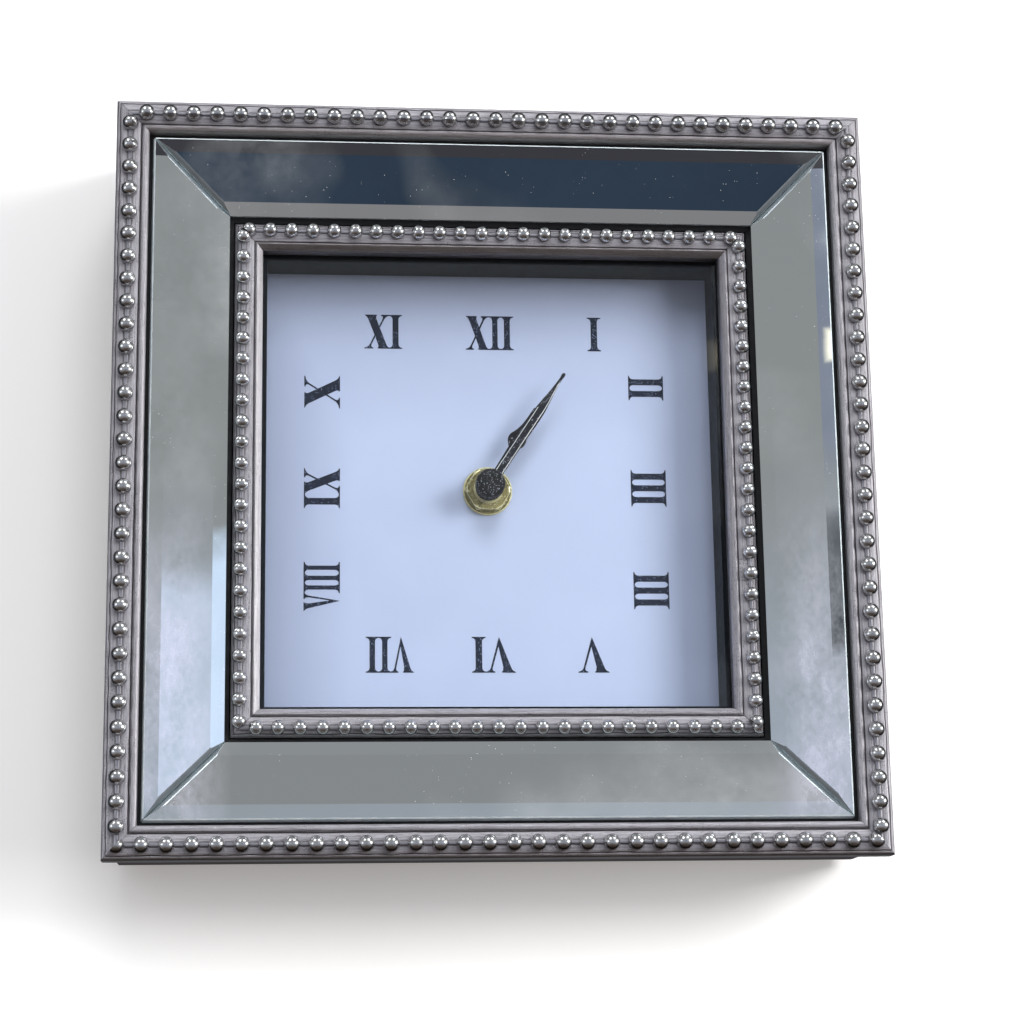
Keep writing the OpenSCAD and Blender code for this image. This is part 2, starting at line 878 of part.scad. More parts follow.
module coil() {
    z = below(10);
    core = stator_arm + 1.5;
    color("#a8562c")
        dial() {
            translate([0, coil_y, z + 1.2])
                rotate([0, 90, 0]) {
                    cylinder(r = coil_r, h = 2 * coil_half, center = true);
                    for (s = [-1, 1])
                        translate([0, 0, s * (coil_half + 0.4)])
                            cylinder(r = flange_r, h = 0.8, center = true);
                }
            box([-core, core], [coil_y - 1.5, coil_y + 1.5], [z, z + 0.8]);
        }
}

module circuit_board() {
    z = below(0.8);
    edge = case_x - case_wall - slip;
    color("#2f6b3c")
        dial() {
            box([board_in, edge], [chamber_low + 1, motion_at[1] + 4.3], [z - 1, z]);
            translate([board_in + 6.5, 1, 0])
                disc(2, z - 1, z - 1.7);
            translate([edge - 3, -2, z - 1.9])
                rotate([-90, 0, 0])
                    cylinder(r = 1, h = 6);
        }
}

// Plate with a dimple for the battery's tip, and a bowed leaf against its flat end
module battery_contacts() {
    wall = case_x - case_wall;
    t = 0.4;
    top = floor_z - 1;
    foot = case_back + 1.5;
    y = [cell_y - 4, cell_y + 4];
    tip = cell_start - 0.1;
    color("#c7cacc")
        dial() {
            box([wall - t, wall], y, [foot, top]);
            translate([cell_end + 0.1, cell_y, cell_z])
                rotate([0, 90, 0])
                    cylinder(r = 2.4, h = wall - cell_end - 0.2);
            translate([0, y[1], 0])
                rotate([90, 0, 0])
                    linear_extrude(y[1] - y[0])
                        difference() {
                            polygon([[-wall, top], [t - wall, top], [tip, cell_z + 1],
                                [tip, cell_z - 1], [t - wall, foot], [-wall, foot]]);
                            polygon([[t - wall, top - 2], [tip - t, cell_z + 0.9],
                                [tip - t, cell_z - 0.9], [t - wall, foot + 2]]);
                        }
        }
}

module battery() {
    color("#3b3f46")
        dial()
            translate([cell_start, cell_y, cell_z])
                rotate([0, 90, 0]) {
                    cylinder(r = cell_r, h = cell_l - nipple_l);
                    cylinder(r = 2.7, h = cell_l);
                }
}

// Knob on the motion work, flush with the back of the movement
module setting_knob() {
    r = knob_d / 2;
    z = below(11.8);
    color("#3a3c40")
        dial()
            translate(motion_at)
                difference() {
                    union() {
                        disc(r, z, case_back + 0.2);
                        disc(2.2, z, below(8.8));
                    }
                    disc(1 + glue, below(11.8), below(8.8) + 1);
                    for (a = [0:30:330])
                        rotate([0, 0, a])
                            translate([r, 0, 0])
                                disc(0.7, case_back, z + 1);
                }
}

module hour_hand() {
    bulge = hour_l * 0.6;
    color("#15161a")
        dial()
            rotate([0, 0, -hour_at])
                difference() {
                    union() {
                        disc(3.6, hour_hand_z - 0.8, hour_hand_z + hand_t);
                        translate([0, 0, hour_hand_z])
                            linear_extrude(hand_t) {
                                polygon([[-1.3, 2], [1.3, 2], [1.1, bulge - 2.4], [-1.1, bulge - 2.4]]);
                                translate([0, bulge])
                                    circle(2.5);
                                polygon([[-2.2, bulge + 1.2], [2.2, bulge + 1.2], [1.45, bulge + 2.7],
                                    [0.95, bulge + 4.3], [0.65, bulge + 6.5], [0.45, hour_l],
                                    [-0.45, hour_l], [-0.65, bulge + 6.5], [-0.95, bulge + 4.3],
                                    [-1.45, bulge + 2.7]]);
                            }
                    }
                    disc(tube_r + glue, hour_hand_z - 2, hour_hand_z + 2);
                }
}

// Half width of the minute hand along its length
minute_shape = [[0.06, 1.3], [0.3, 1.25], [0.45, 1.35], [0.58, 1.48], [0.68, 1.4], [0.76, 1.05],
    [0.84, 0.65], [0.92, 0.45], [0.985, 0.38], [1, 0.25]];

module minute_hand() {
    n = len(minute_shape);
    color("#15161a")
        dial()
            rotate([0, 0, -minute_at])
                difference() {
                    union() {
                        disc(3.3, minute_hand_z, cap_z);
                        translate([0, 0, minute_hand_z])
                            linear_extrude(hand_t)
                                polygon(concat([for (p = minute_shape) [p[1], p[0] * minute_l]],
                                    [for (i = [1:n])
                                        [-minute_shape[n - i][1], minute_shape[n - i][0] * minute_l]]));
                        box([-0.8, 0.8], [cap_d / 2 + 0.3, minute_l * 0.72], [cap_z, cap_z + 0.15]);
                    }
                    disc(cap_hole + glue, minute_hand_z - 1, cap_z + 1);
                }
}

module cap_nut() {
    r = cap_d / 2;
    color("#101114")
        dial()
            translate([0, 0, cap_z])
                rotate_extrude()
                    polygon([[cap_hole + glue, 0], [r - 0.3, 0], [r, 0.3],
                        [r, cap_h - 0.6], [r - 0.2, cap_h - 0.2],
                        [r - 0.6, cap_h], [0, cap_h], [0, cap_h - 1], [cap_hole + glue, cap_h - 1]]);
}

stand() outer_rail(0);  // outer_rail_top
stand() outer_rail(1);  // outer_rail_right
stand() outer_rail(2);  // outer_rail_bottom
stand() outer_rail(3);  // outer_rail_left
stand() outer_beads(0);  // outer_beads_top
stand() outer_beads(1);  // outer_beads_right
stand() outer_beads(2);  // outer_beads_bottom
stand() outer_beads(3);  // outer_beads_left
stand() mirror_panel(0);  // mirror_top
stand() mirror_panel(1);  // mirror_right
stand() mirror_panel(2);  // mirror_bottom
stand() mirror_panel(3);  // mirror_left
stand() inner_rail(0);  // inner_rail_top
stand() inner_rail(1);  // inner_rail_right
stand() inner_rail(2);  // inner_rail_bottom
stand() inner_rail(3);  // inner_rail_left
stand() inner_beads(0);  // inner_beads_top
stand() inner_beads(1);  // inner_beads_right
stand() inner_beads(2);  // inner_beads_bottom
stand() inner_beads(3);  // inner_beads_left
stand() frame_rail(0);  // frame_rail_top
stand() frame_rail(1);  // frame_rail_right
stand() frame_rail(2);  // frame_rail_bottom
stand() frame_rail(3);  // frame_rail_left
stand() dial_glass();
stand() recess_liner();
stand() dial_card();
stand() dial_numerals();
stand() dial_board();
stand() turn_button(0);  // turn_button_top
stand() turn_button(1);  // turn_button_right
stand() turn_button(2);  // turn_button_bottom
stand() turn_button(3);  // turn_button_left
stand() button_screws();
stand() corner_pads();
stand() hanger();
stand() hanger_nails();
stand() movement_case();
stand() movement_lid();
stand() stem_bushing();
stand() gasket();
stand() washer();
stand() hex_nut();
stand() minute_arbor();
stand() centre_wheel();
stand() hour_wheel();
stand() motion_wheel();
stand() third_wheel();
stand() seconds_wheel();
stand() intermediate_wheel();
stand() rotor();
stand() stator();
stand() coil();
stand() circuit_board();
stand() battery_contacts();
stand() battery();
stand() setting_knob();
stand() hour_hand();
stand() minute_hand();
stand() cap_nut();
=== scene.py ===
import math
import random

import bmesh
import bpy
from mathutils import Matrix, Vector


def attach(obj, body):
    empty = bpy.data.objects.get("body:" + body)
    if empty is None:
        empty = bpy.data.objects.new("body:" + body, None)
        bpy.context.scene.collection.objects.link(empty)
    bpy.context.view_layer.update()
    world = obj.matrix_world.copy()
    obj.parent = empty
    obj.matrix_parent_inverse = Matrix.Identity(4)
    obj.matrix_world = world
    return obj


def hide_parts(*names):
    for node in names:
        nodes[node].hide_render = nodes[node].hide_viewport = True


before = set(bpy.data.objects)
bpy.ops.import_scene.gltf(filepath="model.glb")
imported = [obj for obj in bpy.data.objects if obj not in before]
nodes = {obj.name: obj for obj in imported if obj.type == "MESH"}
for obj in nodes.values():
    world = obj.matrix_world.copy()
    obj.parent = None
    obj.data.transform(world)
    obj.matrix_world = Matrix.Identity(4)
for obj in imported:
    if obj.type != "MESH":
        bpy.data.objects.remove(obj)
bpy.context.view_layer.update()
random.seed(8)
mm = 0.001
sides = ["top", "right", "bottom", "left"]

# pieces are drawn with the clock on its back, dial up, in mm: standUp scales them and sets them upright
midDepth = -21.125
midHeight = 0.1
upright = Matrix.Rotation(math.radians(90), 4, "X")
standUp = Matrix.Translation((0, midDepth * mm, midHeight)) @ upright @ Matrix.Scale(mm, 4)
dialAt = (-0.9, -0.3)


# camera, matched to the photo's bead rows
camera = {"spot": (-0.056417, -0.621025, -0.048388), "turn": (102.79506, 0.88377, -5.47405), "lens": 84.18}
camData = bpy.data.cameras.new("camera")
camData.lens = camera["lens"]
camData.sensor_width = 36
camData.clip_start = 0.01
cam = bpy.data.objects.new("camera", camData)
cam.location = camera["spot"]
cam.rotation_euler = [math.radians(a) for a in camera["turn"]]
bpy.context.scene.collection.objects.link(cam)
bpy.context.scene.camera = cam
print("camera set")


# node helpers

def newTree(name):
    mat = bpy.data.materials.new(name)
    mat.use_nodes = True
    return mat, mat.node_tree, mat.node_tree.nodes["Principled BSDF"]


def link(tree, source, target):
    tree.links.new(source, target)


def addNode(tree, kind, **values):
    node = tree.nodes.new(kind)
    for key, value in values.items():
        if hasattr(node, key):
            setattr(node, key, value)
        else:
            node.inputs[key.replace("_", " ")].default_value = value
    return node


def mathNode(tree, operation, a, b=None, clamp=False):
    node = tree.nodes.new("ShaderNodeMath")
    node.operation = operation
    node.use_clamp = clamp
    for socket, value in zip(node.inputs, (a, b)):
        if value is None:
            continue
        if isinstance(value, (int, float)):
            socket.default_value = value
        else:
            link(tree, value, socket)
    return node.outputs[0]


def mixColor(tree, factor, a, b, blend="MIX"):
    node = tree.nodes.new("ShaderNodeMix")
    node.data_type = "RGBA"
    node.blend_type = blend
    for socket, value in ((node.inputs[0], factor), (node.inputs[6], a), (node.inputs[7], b)):
        if isinstance(value, (int, float)):
            socket.default_value = value
        elif isinstance(value, (tuple, list)):
            socket.default_value = (*value[:3], 1)
        else:
            link(tree, value, socket)
    return node.outputs[2]


def spread(tree, value, low, high, newLow=0.0, newHigh=1.0):
    node = addNode(tree, "ShaderNodeMapRange", clamp=True)
    link(tree, value, node.inputs["Value"])
    node.inputs["From Min"].default_value = low
    node.inputs["From Max"].default_value = high
    node.inputs["To Min"].default_value = newLow
    node.inputs["To Max"].default_value = newHigh
    return node.outputs[0]


def objectCoords(tree, scale=(1, 1, 1), turn=(0, 0, 0)):
    coords = tree.nodes.new("ShaderNodeTexCoord")
    mapping = tree.nodes.new("ShaderNodeMapping")
    mapping.inputs["Scale"].default_value = scale
    mapping.inputs["Rotation"].default_value = turn
    link(tree, coords.outputs["Object"], mapping.inputs["Vector"])
    return mapping.outputs["Vector"]


def uvCoords(tree, scale=(1, 1, 1)):
    coords = tree.nodes.new("ShaderNodeTexCoord")
    mapping = tree.nodes.new("ShaderNodeMapping")
    mapping.inputs["Scale"].default_value = scale
    link(tree, coords.outputs["UV"], mapping.inputs["Vector"])
    return mapping.outputs["Vector"]


def newGroup(name, values, masks):  # a vector and these values go in, masks come out
    tree = bpy.data.node_groups.new(name, "ShaderNodeTree")
    tree.interface.new_socket("Vector", in_out="INPUT", socket_type="NodeSocketVector")
    for title, value in values.items():
        tree.interface.new_socket(title, in_out="INPUT", socket_type="NodeSocketFloat").default_value = value
    for title in masks:
        tree.interface.new_socket(title, in_out="OUTPUT", socket_type="NodeSocketFloat")
    return tree, tree.nodes.new("NodeGroupInput"), tree.nodes.new("NodeGroupOutput")


def useGroup(tree, group, vector, **values):
    node = tree.nodes.new("ShaderNodeGroup")
    node.node_tree = group
    link(tree, vector, node.inputs["Vector"])
    for key, value in values.items():
        node.inputs[key].default_value = value
    return node


# shared effects

def makeMottle():  # soft cloudy variation with finer grain in it
    tree, start, end = newGroup("cloudyMottle", {"Scale": 100.0, "Grain": 0.3}, ["Mask"])
    coarse = addNode(tree, "ShaderNodeTexNoise", Detail=4.0, Roughness=0.6)
    fine = addNode(tree, "ShaderNodeTexNoise", Detail=3.0, Roughness=0.7)
    for noise, factor in ((coarse, 1.0), (fine, 9.0)):
        link(tree, start.outputs["Vector"], noise.inputs["Vector"])
        link(tree, mathNode(tree, "MULTIPLY", start.outputs["Scale"], factor), noise.inputs["Scale"])
    grain = mathNode(tree, "SUBTRACT", fine.outputs[0], 0.5)
    grain = mathNode(tree, "MULTIPLY", grain, start.outputs["Grain"])
    link(tree, spread(tree, mathNode(tree, "ADD", coarse.outputs[0], grain), 0.3, 0.7), end.inputs["Mask"])
    return tree


def makeStreaks():  # fine lines drawn out along one direction: the vector comes already stretched
    tree, start, end = newGroup("fineStreaks", {"Scale": 1000.0, "Sharpness": 0.5}, ["Mask", "Dark Lines"])
    wide = addNode(tree, "ShaderNodeTexNoise", Detail=5.0, Roughness=0.65)
    thin = addNode(tree, "ShaderNodeTexNoise", Detail=2.0, Roughness=0.5)
    for noise, factor in ((wide, 1.0), (thin, 3.1)):
        link(tree, start.outputs["Vector"], noise.inputs["Vector"])
        link(tree, mathNode(tree, "MULTIPLY", start.outputs["Scale"], factor), noise.inputs["Scale"])
    link(tree, spread(tree, wide.outputs[0], 0.32, 0.68), end.inputs["Mask"])
    low = mathNode(tree, "SUBTRACT", 0.42, mathNode(tree, "MULTIPLY", start.outputs["Sharpness"], 0.08))
    gap = mathNode(tree, "SUBTRACT", low, thin.outputs[0])
    link(tree, mathNode(tree, "MULTIPLY", gap, 14.0, clamp=True), end.inputs["Dark Lines"])
    return tree


def makeSpecks():  # small scattered specks of dust or pits
    values = {"Scale": 1500.0, "Size": 0.2, "Share": 0.4, "Everywhere": 0.0}
    tree, start, end = newGroup("scatteredSpecks", values, ["Mask"])
    cells = addNode(tree, "ShaderNodeTexVoronoi")
    link(tree, start.outputs["Vector"], cells.inputs["Vector"])
    link(tree, start.outputs["Scale"], cells.inputs["Scale"])
    dot = mathNode(tree, "LESS_THAN", cells.outputs["Distance"], start.outputs["Size"])
    patch = addNode(tree, "ShaderNodeTexNoise", Detail=3.0)
    link(tree, start.outputs["Vector"], patch.inputs["Vector"])
    link(tree, mathNode(tree, "MULTIPLY", start.outputs["Scale"], 0.06), patch.inputs["Scale"])
    split = addNode(tree, "ShaderNodeSeparateColor")
    link(tree, cells.outputs["Color"], split.inputs[0])
    chosen = mathNode(tree, "LESS_THAN", split.outputs[0], start.outputs["Share"])
    near = mathNode(tree, "MAXIMUM", spread(tree, patch.outputs[0], 0.45, 0.6), start.outputs["Everywhere"])
    link(tree, mathNode(tree, "MULTIPLY", mathNode(tree, "MULTIPLY", dot, chosen), near), end.inputs["Mask"])
    return tree


mottle = makeMottle()
streaks = makeStreaks()
specks = makeSpecks()


def bumpFrom(tree, shader, height, strength, distance, roundness=0.0):
    bump = addNode(tree, "ShaderNodeBump", Strength=strength, Distance=distance)
    link(tree, height, bump.inputs["Height"])
    if roundness:
        soft = addNode(tree, "ShaderNodeBevel", samples=4, Radius=roundness)
        link(tree, soft.outputs[0], bump.inputs["Normal"])
    link(tree, bump.outputs[0], shader.inputs["Normal"])


def plainFinish(name, dark, light, roughness, metallic=0.0, scale=150.0, grain=0.4, bump=0.1, speckColor=None,
                speckScale=1800.0, coat=0.0, specular=0.5):
    mat, tree, shader = newTree(name)
    coords = objectCoords(tree)
    cloud = useGroup(tree, mottle, coords, Scale=scale, Grain=grain)
    color = mixColor(tree, cloud.outputs[0], dark, light)
    if speckColor:
        dots = useGroup(tree, specks, coords, Scale=speckScale, Size=0.26, Share=0.6, Everywhere=0.8)
        color = mixColor(tree, dots.outputs[0], color, speckColor)
    link(tree, color, shader.inputs["Base Color"])
    rough = spread(tree, cloud.outputs[0], 0, 1, roughness + 0.06, roughness - 0.06)
    link(tree, rough, shader.inputs["Roughness"])
    shader.inputs["Metallic"].default_value = metallic
    shader.inputs["Specular IOR Level"].default_value = specular
    shader.inputs["Coat Weight"].default_value = coat
    shader.inputs["Coat Roughness"].default_value = 0.15
    bumpFrom(tree, shader, cloud.outputs[0], bump, 0.0001, 0.00015)
    return mat


# antique pewter foil on the mouldings: brushed along the rail, darker in the low lines, with painted shade on
# the down-facing lips and rims and on the walls below the lips, and a painted highlight on the left lips

pewter = {"light": (0.52, 0.505, 0.548), "dark": (0.205, 0.194, 0.213), "line": (0.02, 0.015, 0.015),
          "paintedHighlight": (0.85, 0.83, 0.84), "scuff": (0.8, 0.77, 0.76), "paintedShade": (0.075, 0.055, 0.038),
          "deep": (0.006, 0.006, 0.007), "roughness": 0.34, "metallic": 0.42, "wander": 1.1,
          "ribFoot": 0.72, "brush": (0.045, 1, 1)}


def makePewter(name):
    mat, tree, shader = newTree(name)
    fine = useGroup(tree, streaks, uvCoords(tree, pewter["brush"]), Scale=2.2, Sharpness=0.4)
    cloud = useGroup(tree, mottle, objectCoords(tree), Scale=60.0, Grain=0.5)
    color = mixColor(tree, fine.outputs["Mask"], pewter["dark"], pewter["light"])
    color = mixColor(tree, mathNode(tree, "MULTIPLY", cloud.outputs[0], 0.3), color, pewter["light"])
    drawn = mathNode(tree, "MULTIPLY", fine.outputs["Dark Lines"], 0.55)
    color = mixColor(tree, drawn, color, pewter["line"])
    uv = addNode(tree, "ShaderNodeSeparateXYZ")
    link(tree, tree.nodes["Texture Coordinate"].outputs["UV"], uv.inputs[0])
    wobble = addNode(tree, "ShaderNodeTexNoise", Scale=0.12, Detail=2.0)
    link(tree, uvCoords(tree, (1, 0.02, 1)), wobble.inputs["Vector"])
    offset = mathNode(tree, "MULTIPLY", mathNode(tree, "SUBTRACT", wobble.outputs[0], 0.5), pewter["wander"])
    beadLine = addNode(tree, "ShaderNodeAttribute", attribute_name="fromBeads")
    aside = mathNode(tree, "SUBTRACT", mathNode(tree, "ABSOLUTE", beadLine.outputs["Fac"]), pewter["ribFoot"])
    hair = spread(tree, mathNode(tree, "ABSOLUTE", aside), 0.06, 0.2, 0.55, 0.0)
    for line, share, wide in (("fromRim", 0.9, 0.07), ("fromGroove", 0.3, 0.13)):
        lineAt = addNode(tree, "ShaderNodeAttribute", attribute_name=line)
        shifted = mathNode(tree, "ADD", lineAt.outputs["Fac"], mathNode(tree, "MULTIPLY", offset, share))
        thin = spread(tree, mathNode(tree, "ABSOLUTE", shifted), wide, wide + 0.1, 1.0, 0.0)
        hair = mathNode(tree, "MAXIMUM", hair, thin)
    pits = useGroup(tree, specks, objectCoords(tree), Scale=2100.0, Size=0.3, Share=0.45)
    color = mixColor(tree, mathNode(tree, "MULTIPLY", pits.outputs[0], 0.6), color, pewter["line"])
    aslant = objectCoords(tree, (1, 1, 1), (0.4, 0.2, 0.7))
    scuffs = useGroup(tree, specks, aslant, Scale=1700.0, Size=0.24, Share=0.4)
    color = mixColor(tree, mathNode(tree, "MULTIPLY", scuffs.outputs[0], 0.5), color, pewter["scuff"])
    color = mixColor(tree, mathNode(tree, "MULTIPLY", hair, 0.85), color, pewter["line"])
    # painted highlight on the left lips, painted shade on the down-facing lips and rims, then painted shade
    # on the walls below the lips
    for title, strength in (("paintedHighlight", 0.75), ("paintedShade", 0.72), ("deep", 1.0)):
        marked = addNode(tree, "ShaderNodeAttribute", attribute_name=title)
        share = mathNode(tree, "MULTIPLY", marked.outputs["Fac"], strength)
        color = mixColor(tree, share, color, pewter[title])
    link(tree, color, shader.inputs["Base Color"])
    shader.inputs["Metallic"].default_value = pewter["metallic"]
    rough = spread(tree, fine.outputs["Mask"], 0, 1, pewter["roughness"] + 0.1, pewter["roughness"] - 0.05)
    link(tree, rough, shader.inputs["Roughness"])
    height = mathNode(tree, "SUBTRACT", fine.outputs["Mask"], mathNode(tree, "MULTIPLY", hair, 2.5))
    bumpFrom(tree, shader, height, 0.35, 0.00008)
    return mat


pewterFoil = makePewter("pewterFoil")


beadShine = {"dark": (0.55, 0.55, 0.55), "light": (0.75, 0.75, 0.76), "paintedShade": (0.035, 0.03, 0.026),
             "polished": 0.23, "marked": 0.45}


def makeBeadMetal():
    mat, tree, shader = newTree("beadMetal")
    cloud = useGroup(tree, mottle, objectCoords(tree), Scale=220.0, Grain=0.6)
    color = mixColor(tree, cloud.outputs[0], beadShine["dark"], beadShine["light"])
    rib = addNode(tree, "ShaderNodeAttribute", attribute_name="rib")
    color = mixColor(tree, rib.outputs["Fac"], color, pewter["light"])
    # painted shade at the beads' feet and along the rib's foot, which are also made rougher
    paintedShade = addNode(tree, "ShaderNodeAttribute", attribute_name="paintedShade")
    color = mixColor(tree, paintedShade.outputs["Fac"], color, beadShine["paintedShade"])
    link(tree, color, shader.inputs["Base Color"])
    shader.inputs["Metallic"].default_value = 1.0
    marked = mathNode(tree, "MAXIMUM", paintedShade.outputs["Fac"], rib.outputs["Fac"])
    link(tree, spread(tree, marked, 0, 1, beadShine["polished"], beadShine["marked"]), shader.inputs["Roughness"])
    bumpFrom(tree, shader, cloud.outputs[0], 0.2, 0.00005)
    return mat


beadMetal = makeBeadMetal()


# silvered glass: a little haze and dust everywhere, and wiping marks low on the side mirrors
silvering = {"clear": (0.78, 0.82, 0.82), "hazy": (0.86, 0.89, 0.93), "wiped": (0.86, 0.87, 0.99),
             "dust": (0.8, 0.82, 0.84), "hazeDulls": 0.16, "dustDulls": 0.5, "wipingDulls": 0.36,
             "wipedBelow": 0.1, "wipedBeyond": 0.068}


def makeMirror():
    mat, tree, shader = newTree("silveredGlass")
    coords = objectCoords(tree)
    smear = useGroup(tree, mottle, coords, Scale=34.0, Grain=0.25)
    patchy = addNode(tree, "ShaderNodeTexNoise", Scale=22.0, Detail=2.0)
    link(tree, coords, patchy.inputs["Vector"])
    haze = mathNode(tree, "MULTIPLY", smear.outputs[0], spread(tree, patchy.outputs[0], 0.5, 0.66))
    dust = useGroup(tree, specks, coords, Scale=1300.0, Size=0.15, Share=0.16)
    where = addNode(tree, "ShaderNodeSeparateXYZ")
    link(tree, tree.nodes["Texture Coordinate"].outputs["Object"], where.inputs[0])
    below = spread(tree, where.outputs[2], silvering["wipedBelow"], silvering["wipedBelow"] - 0.05)
    beyond = spread(tree, mathNode(tree, "ABSOLUTE", where.outputs[0]), silvering["wipedBeyond"],
                    silvering["wipedBeyond"] + 0.012)
    wiped = useGroup(tree, mottle, objectCoords(tree, (1.3, 1, 0.8), (0, 0.5, 0)), Scale=70.0, Grain=0.5)
    wiped = mathNode(tree, "MULTIPLY", wiped.outputs[0], mathNode(tree, "MULTIPLY", below, beyond))
    color = mixColor(tree, mathNode(tree, "MULTIPLY", haze, 0.35), silvering["clear"], silvering["hazy"])
    color = mixColor(tree, wiped, color, silvering["wiped"])
    color = mixColor(tree, dust.outputs[0], color, silvering["dust"])
    link(tree, color, shader.inputs["Base Color"])
    dirt = mathNode(tree, "MULTIPLY", haze, silvering["hazeDulls"])
    for mask, strength in ((dust.outputs[0], silvering["dustDulls"]), (wiped, silvering["wipingDulls"])):
        dirt = mathNode(tree, "MAXIMUM", dirt, mathNode(tree, "MULTIPLY", mask, strength))
    link(tree, mathNode(tree, "SUBTRACT", 1.0, dirt), shader.inputs["Metallic"])
    rough = mathNode(tree, "ADD", 0.015, mathNode(tree, "MULTIPLY", haze, 0.12))
    link(tree, rough, shader.inputs["Roughness"])
    return mat


mirrorGlass = makeMirror()


# satin card with a little painted shade towards its edges, most at the top and the left, where the recess
# walls shade it: places and the fade's width in metres
paper = {"dark": (0.49, 0.56, 0.8), "light": (0.517, 0.59, 0.835), "edge": (0.27, 0.3, 0.44), "top": 0.1597,
         "half": 0.0607, "middle": 0.0021, "fade": 0.021, "topShare": 0.47}


def makeDialPaper():
    mat, tree, shader = newTree("dialPaper")
    coords = objectCoords(tree)
    cloud = useGroup(tree, mottle, coords, Scale=40.0, Grain=0.2)
    color = mixColor(tree, cloud.outputs[0], paper["dark"], paper["light"])
    where = addNode(tree, "ShaderNodeSeparateXYZ")
    link(tree, tree.nodes["Texture Coordinate"].outputs["Object"], where.inputs[0])
    fromTop = mathNode(tree, "SUBTRACT", paper["top"], where.outputs[2])
    fromMiddle = mathNode(tree, "ABSOLUTE", mathNode(tree, "SUBTRACT", where.outputs[0], paper["middle"]))
    aside = mathNode(tree, "SUBTRACT", paper["half"], fromMiddle)
    edge = mathNode(tree, "MINIMUM", mathNode(tree, "MULTIPLY", fromTop, paper["topShare"]), aside)
    # painted shade from the recess walls, fading inward from the edges
    recessShade = spread(tree, edge, 0.0, paper["fade"], 0.6, 0.0)
    color = mixColor(tree, recessShade, color, paper["edge"])
    link(tree, color, shader.inputs["Base Color"])
    shader.inputs["Roughness"].default_value = 0.5
    bumpFrom(tree, shader, cloud.outputs[0], 0.03, 0.0001)
    return mat


# brown foil on the sides, dark paint in the front between the mouldings
wood = {"dark": (0.07, 0.045, 0.032), "light": (0.13, 0.088, 0.062), "paint": (0.006, 0.006, 0.007),
        "paintedHalf": 0.0965, "paintedFront": -0.002}


def makeFrameWood():
    mat, tree, shader = newTree("frameWood")
    coords = objectCoords(tree)
    grain = useGroup(tree, streaks, objectCoords(tree, (0.08, 1, 0.08)), Scale=900.0, Sharpness=0.3)
    color = mixColor(tree, grain.outputs["Mask"], wood["dark"], wood["light"])
    where = addNode(tree, "ShaderNodeSeparateXYZ")
    link(tree, tree.nodes["Texture Coordinate"].outputs["Object"], where.inputs[0])
    across = mathNode(tree, "ABSOLUTE", where.outputs[0])
    high = mathNode(tree, "ABSOLUTE", mathNode(tree, "SUBTRACT", where.outputs[2], midHeight))
    within = mathNode(tree, "LESS_THAN", mathNode(tree, "MAXIMUM", across, high), wood["paintedHalf"])
    front = mathNode(tree, "LESS_THAN", where.outputs[1], wood["paintedFront"])
    painted = mathNode(tree, "MULTIPLY", within, front)
    link(tree, mixColor(tree, painted, color, wood["paint"]), shader.inputs["Base Color"])
    shader.inputs["Roughness"].default_value = 0.5
    bumpFrom(tree, shader, grain.outputs["Mask"], 0.25, 0.0001, 0.0003)
    return mat


def makeClearGlass():
    mat, tree, shader = newTree("dialGlass")
    shader.inputs["Base Color"].default_value = (0.97, 0.985, 0.98, 1)
    shader.inputs["Transmission Weight"].default_value = 1.0
    shader.inputs["Roughness"].default_value = 0.0
    shader.inputs["IOR"].default_value = 1.45
    shader.inputs["Specular IOR Level"].default_value = 0.3
    path = tree.nodes.new("ShaderNodeLightPath")
    clear = tree.nodes.new("ShaderNodeBsdfTransparent")
    clear.inputs[0].default_value = (0.96, 0.975, 0.97, 1)
    mix = tree.nodes.new("ShaderNodeMixShader")
    passing = mathNode(tree, "MAXIMUM", path.outputs["Is Shadow Ray"], path.outputs["Is Diffuse Ray"])
    link(tree, passing, mix.inputs[0])
    link(tree, shader.outputs[0], mix.inputs[1])
    link(tree, clear.outputs[0], mix.inputs[2])
    link(tree, mix.outputs[0], tree.nodes["Material Output"].inputs["Surface"])
    return mat


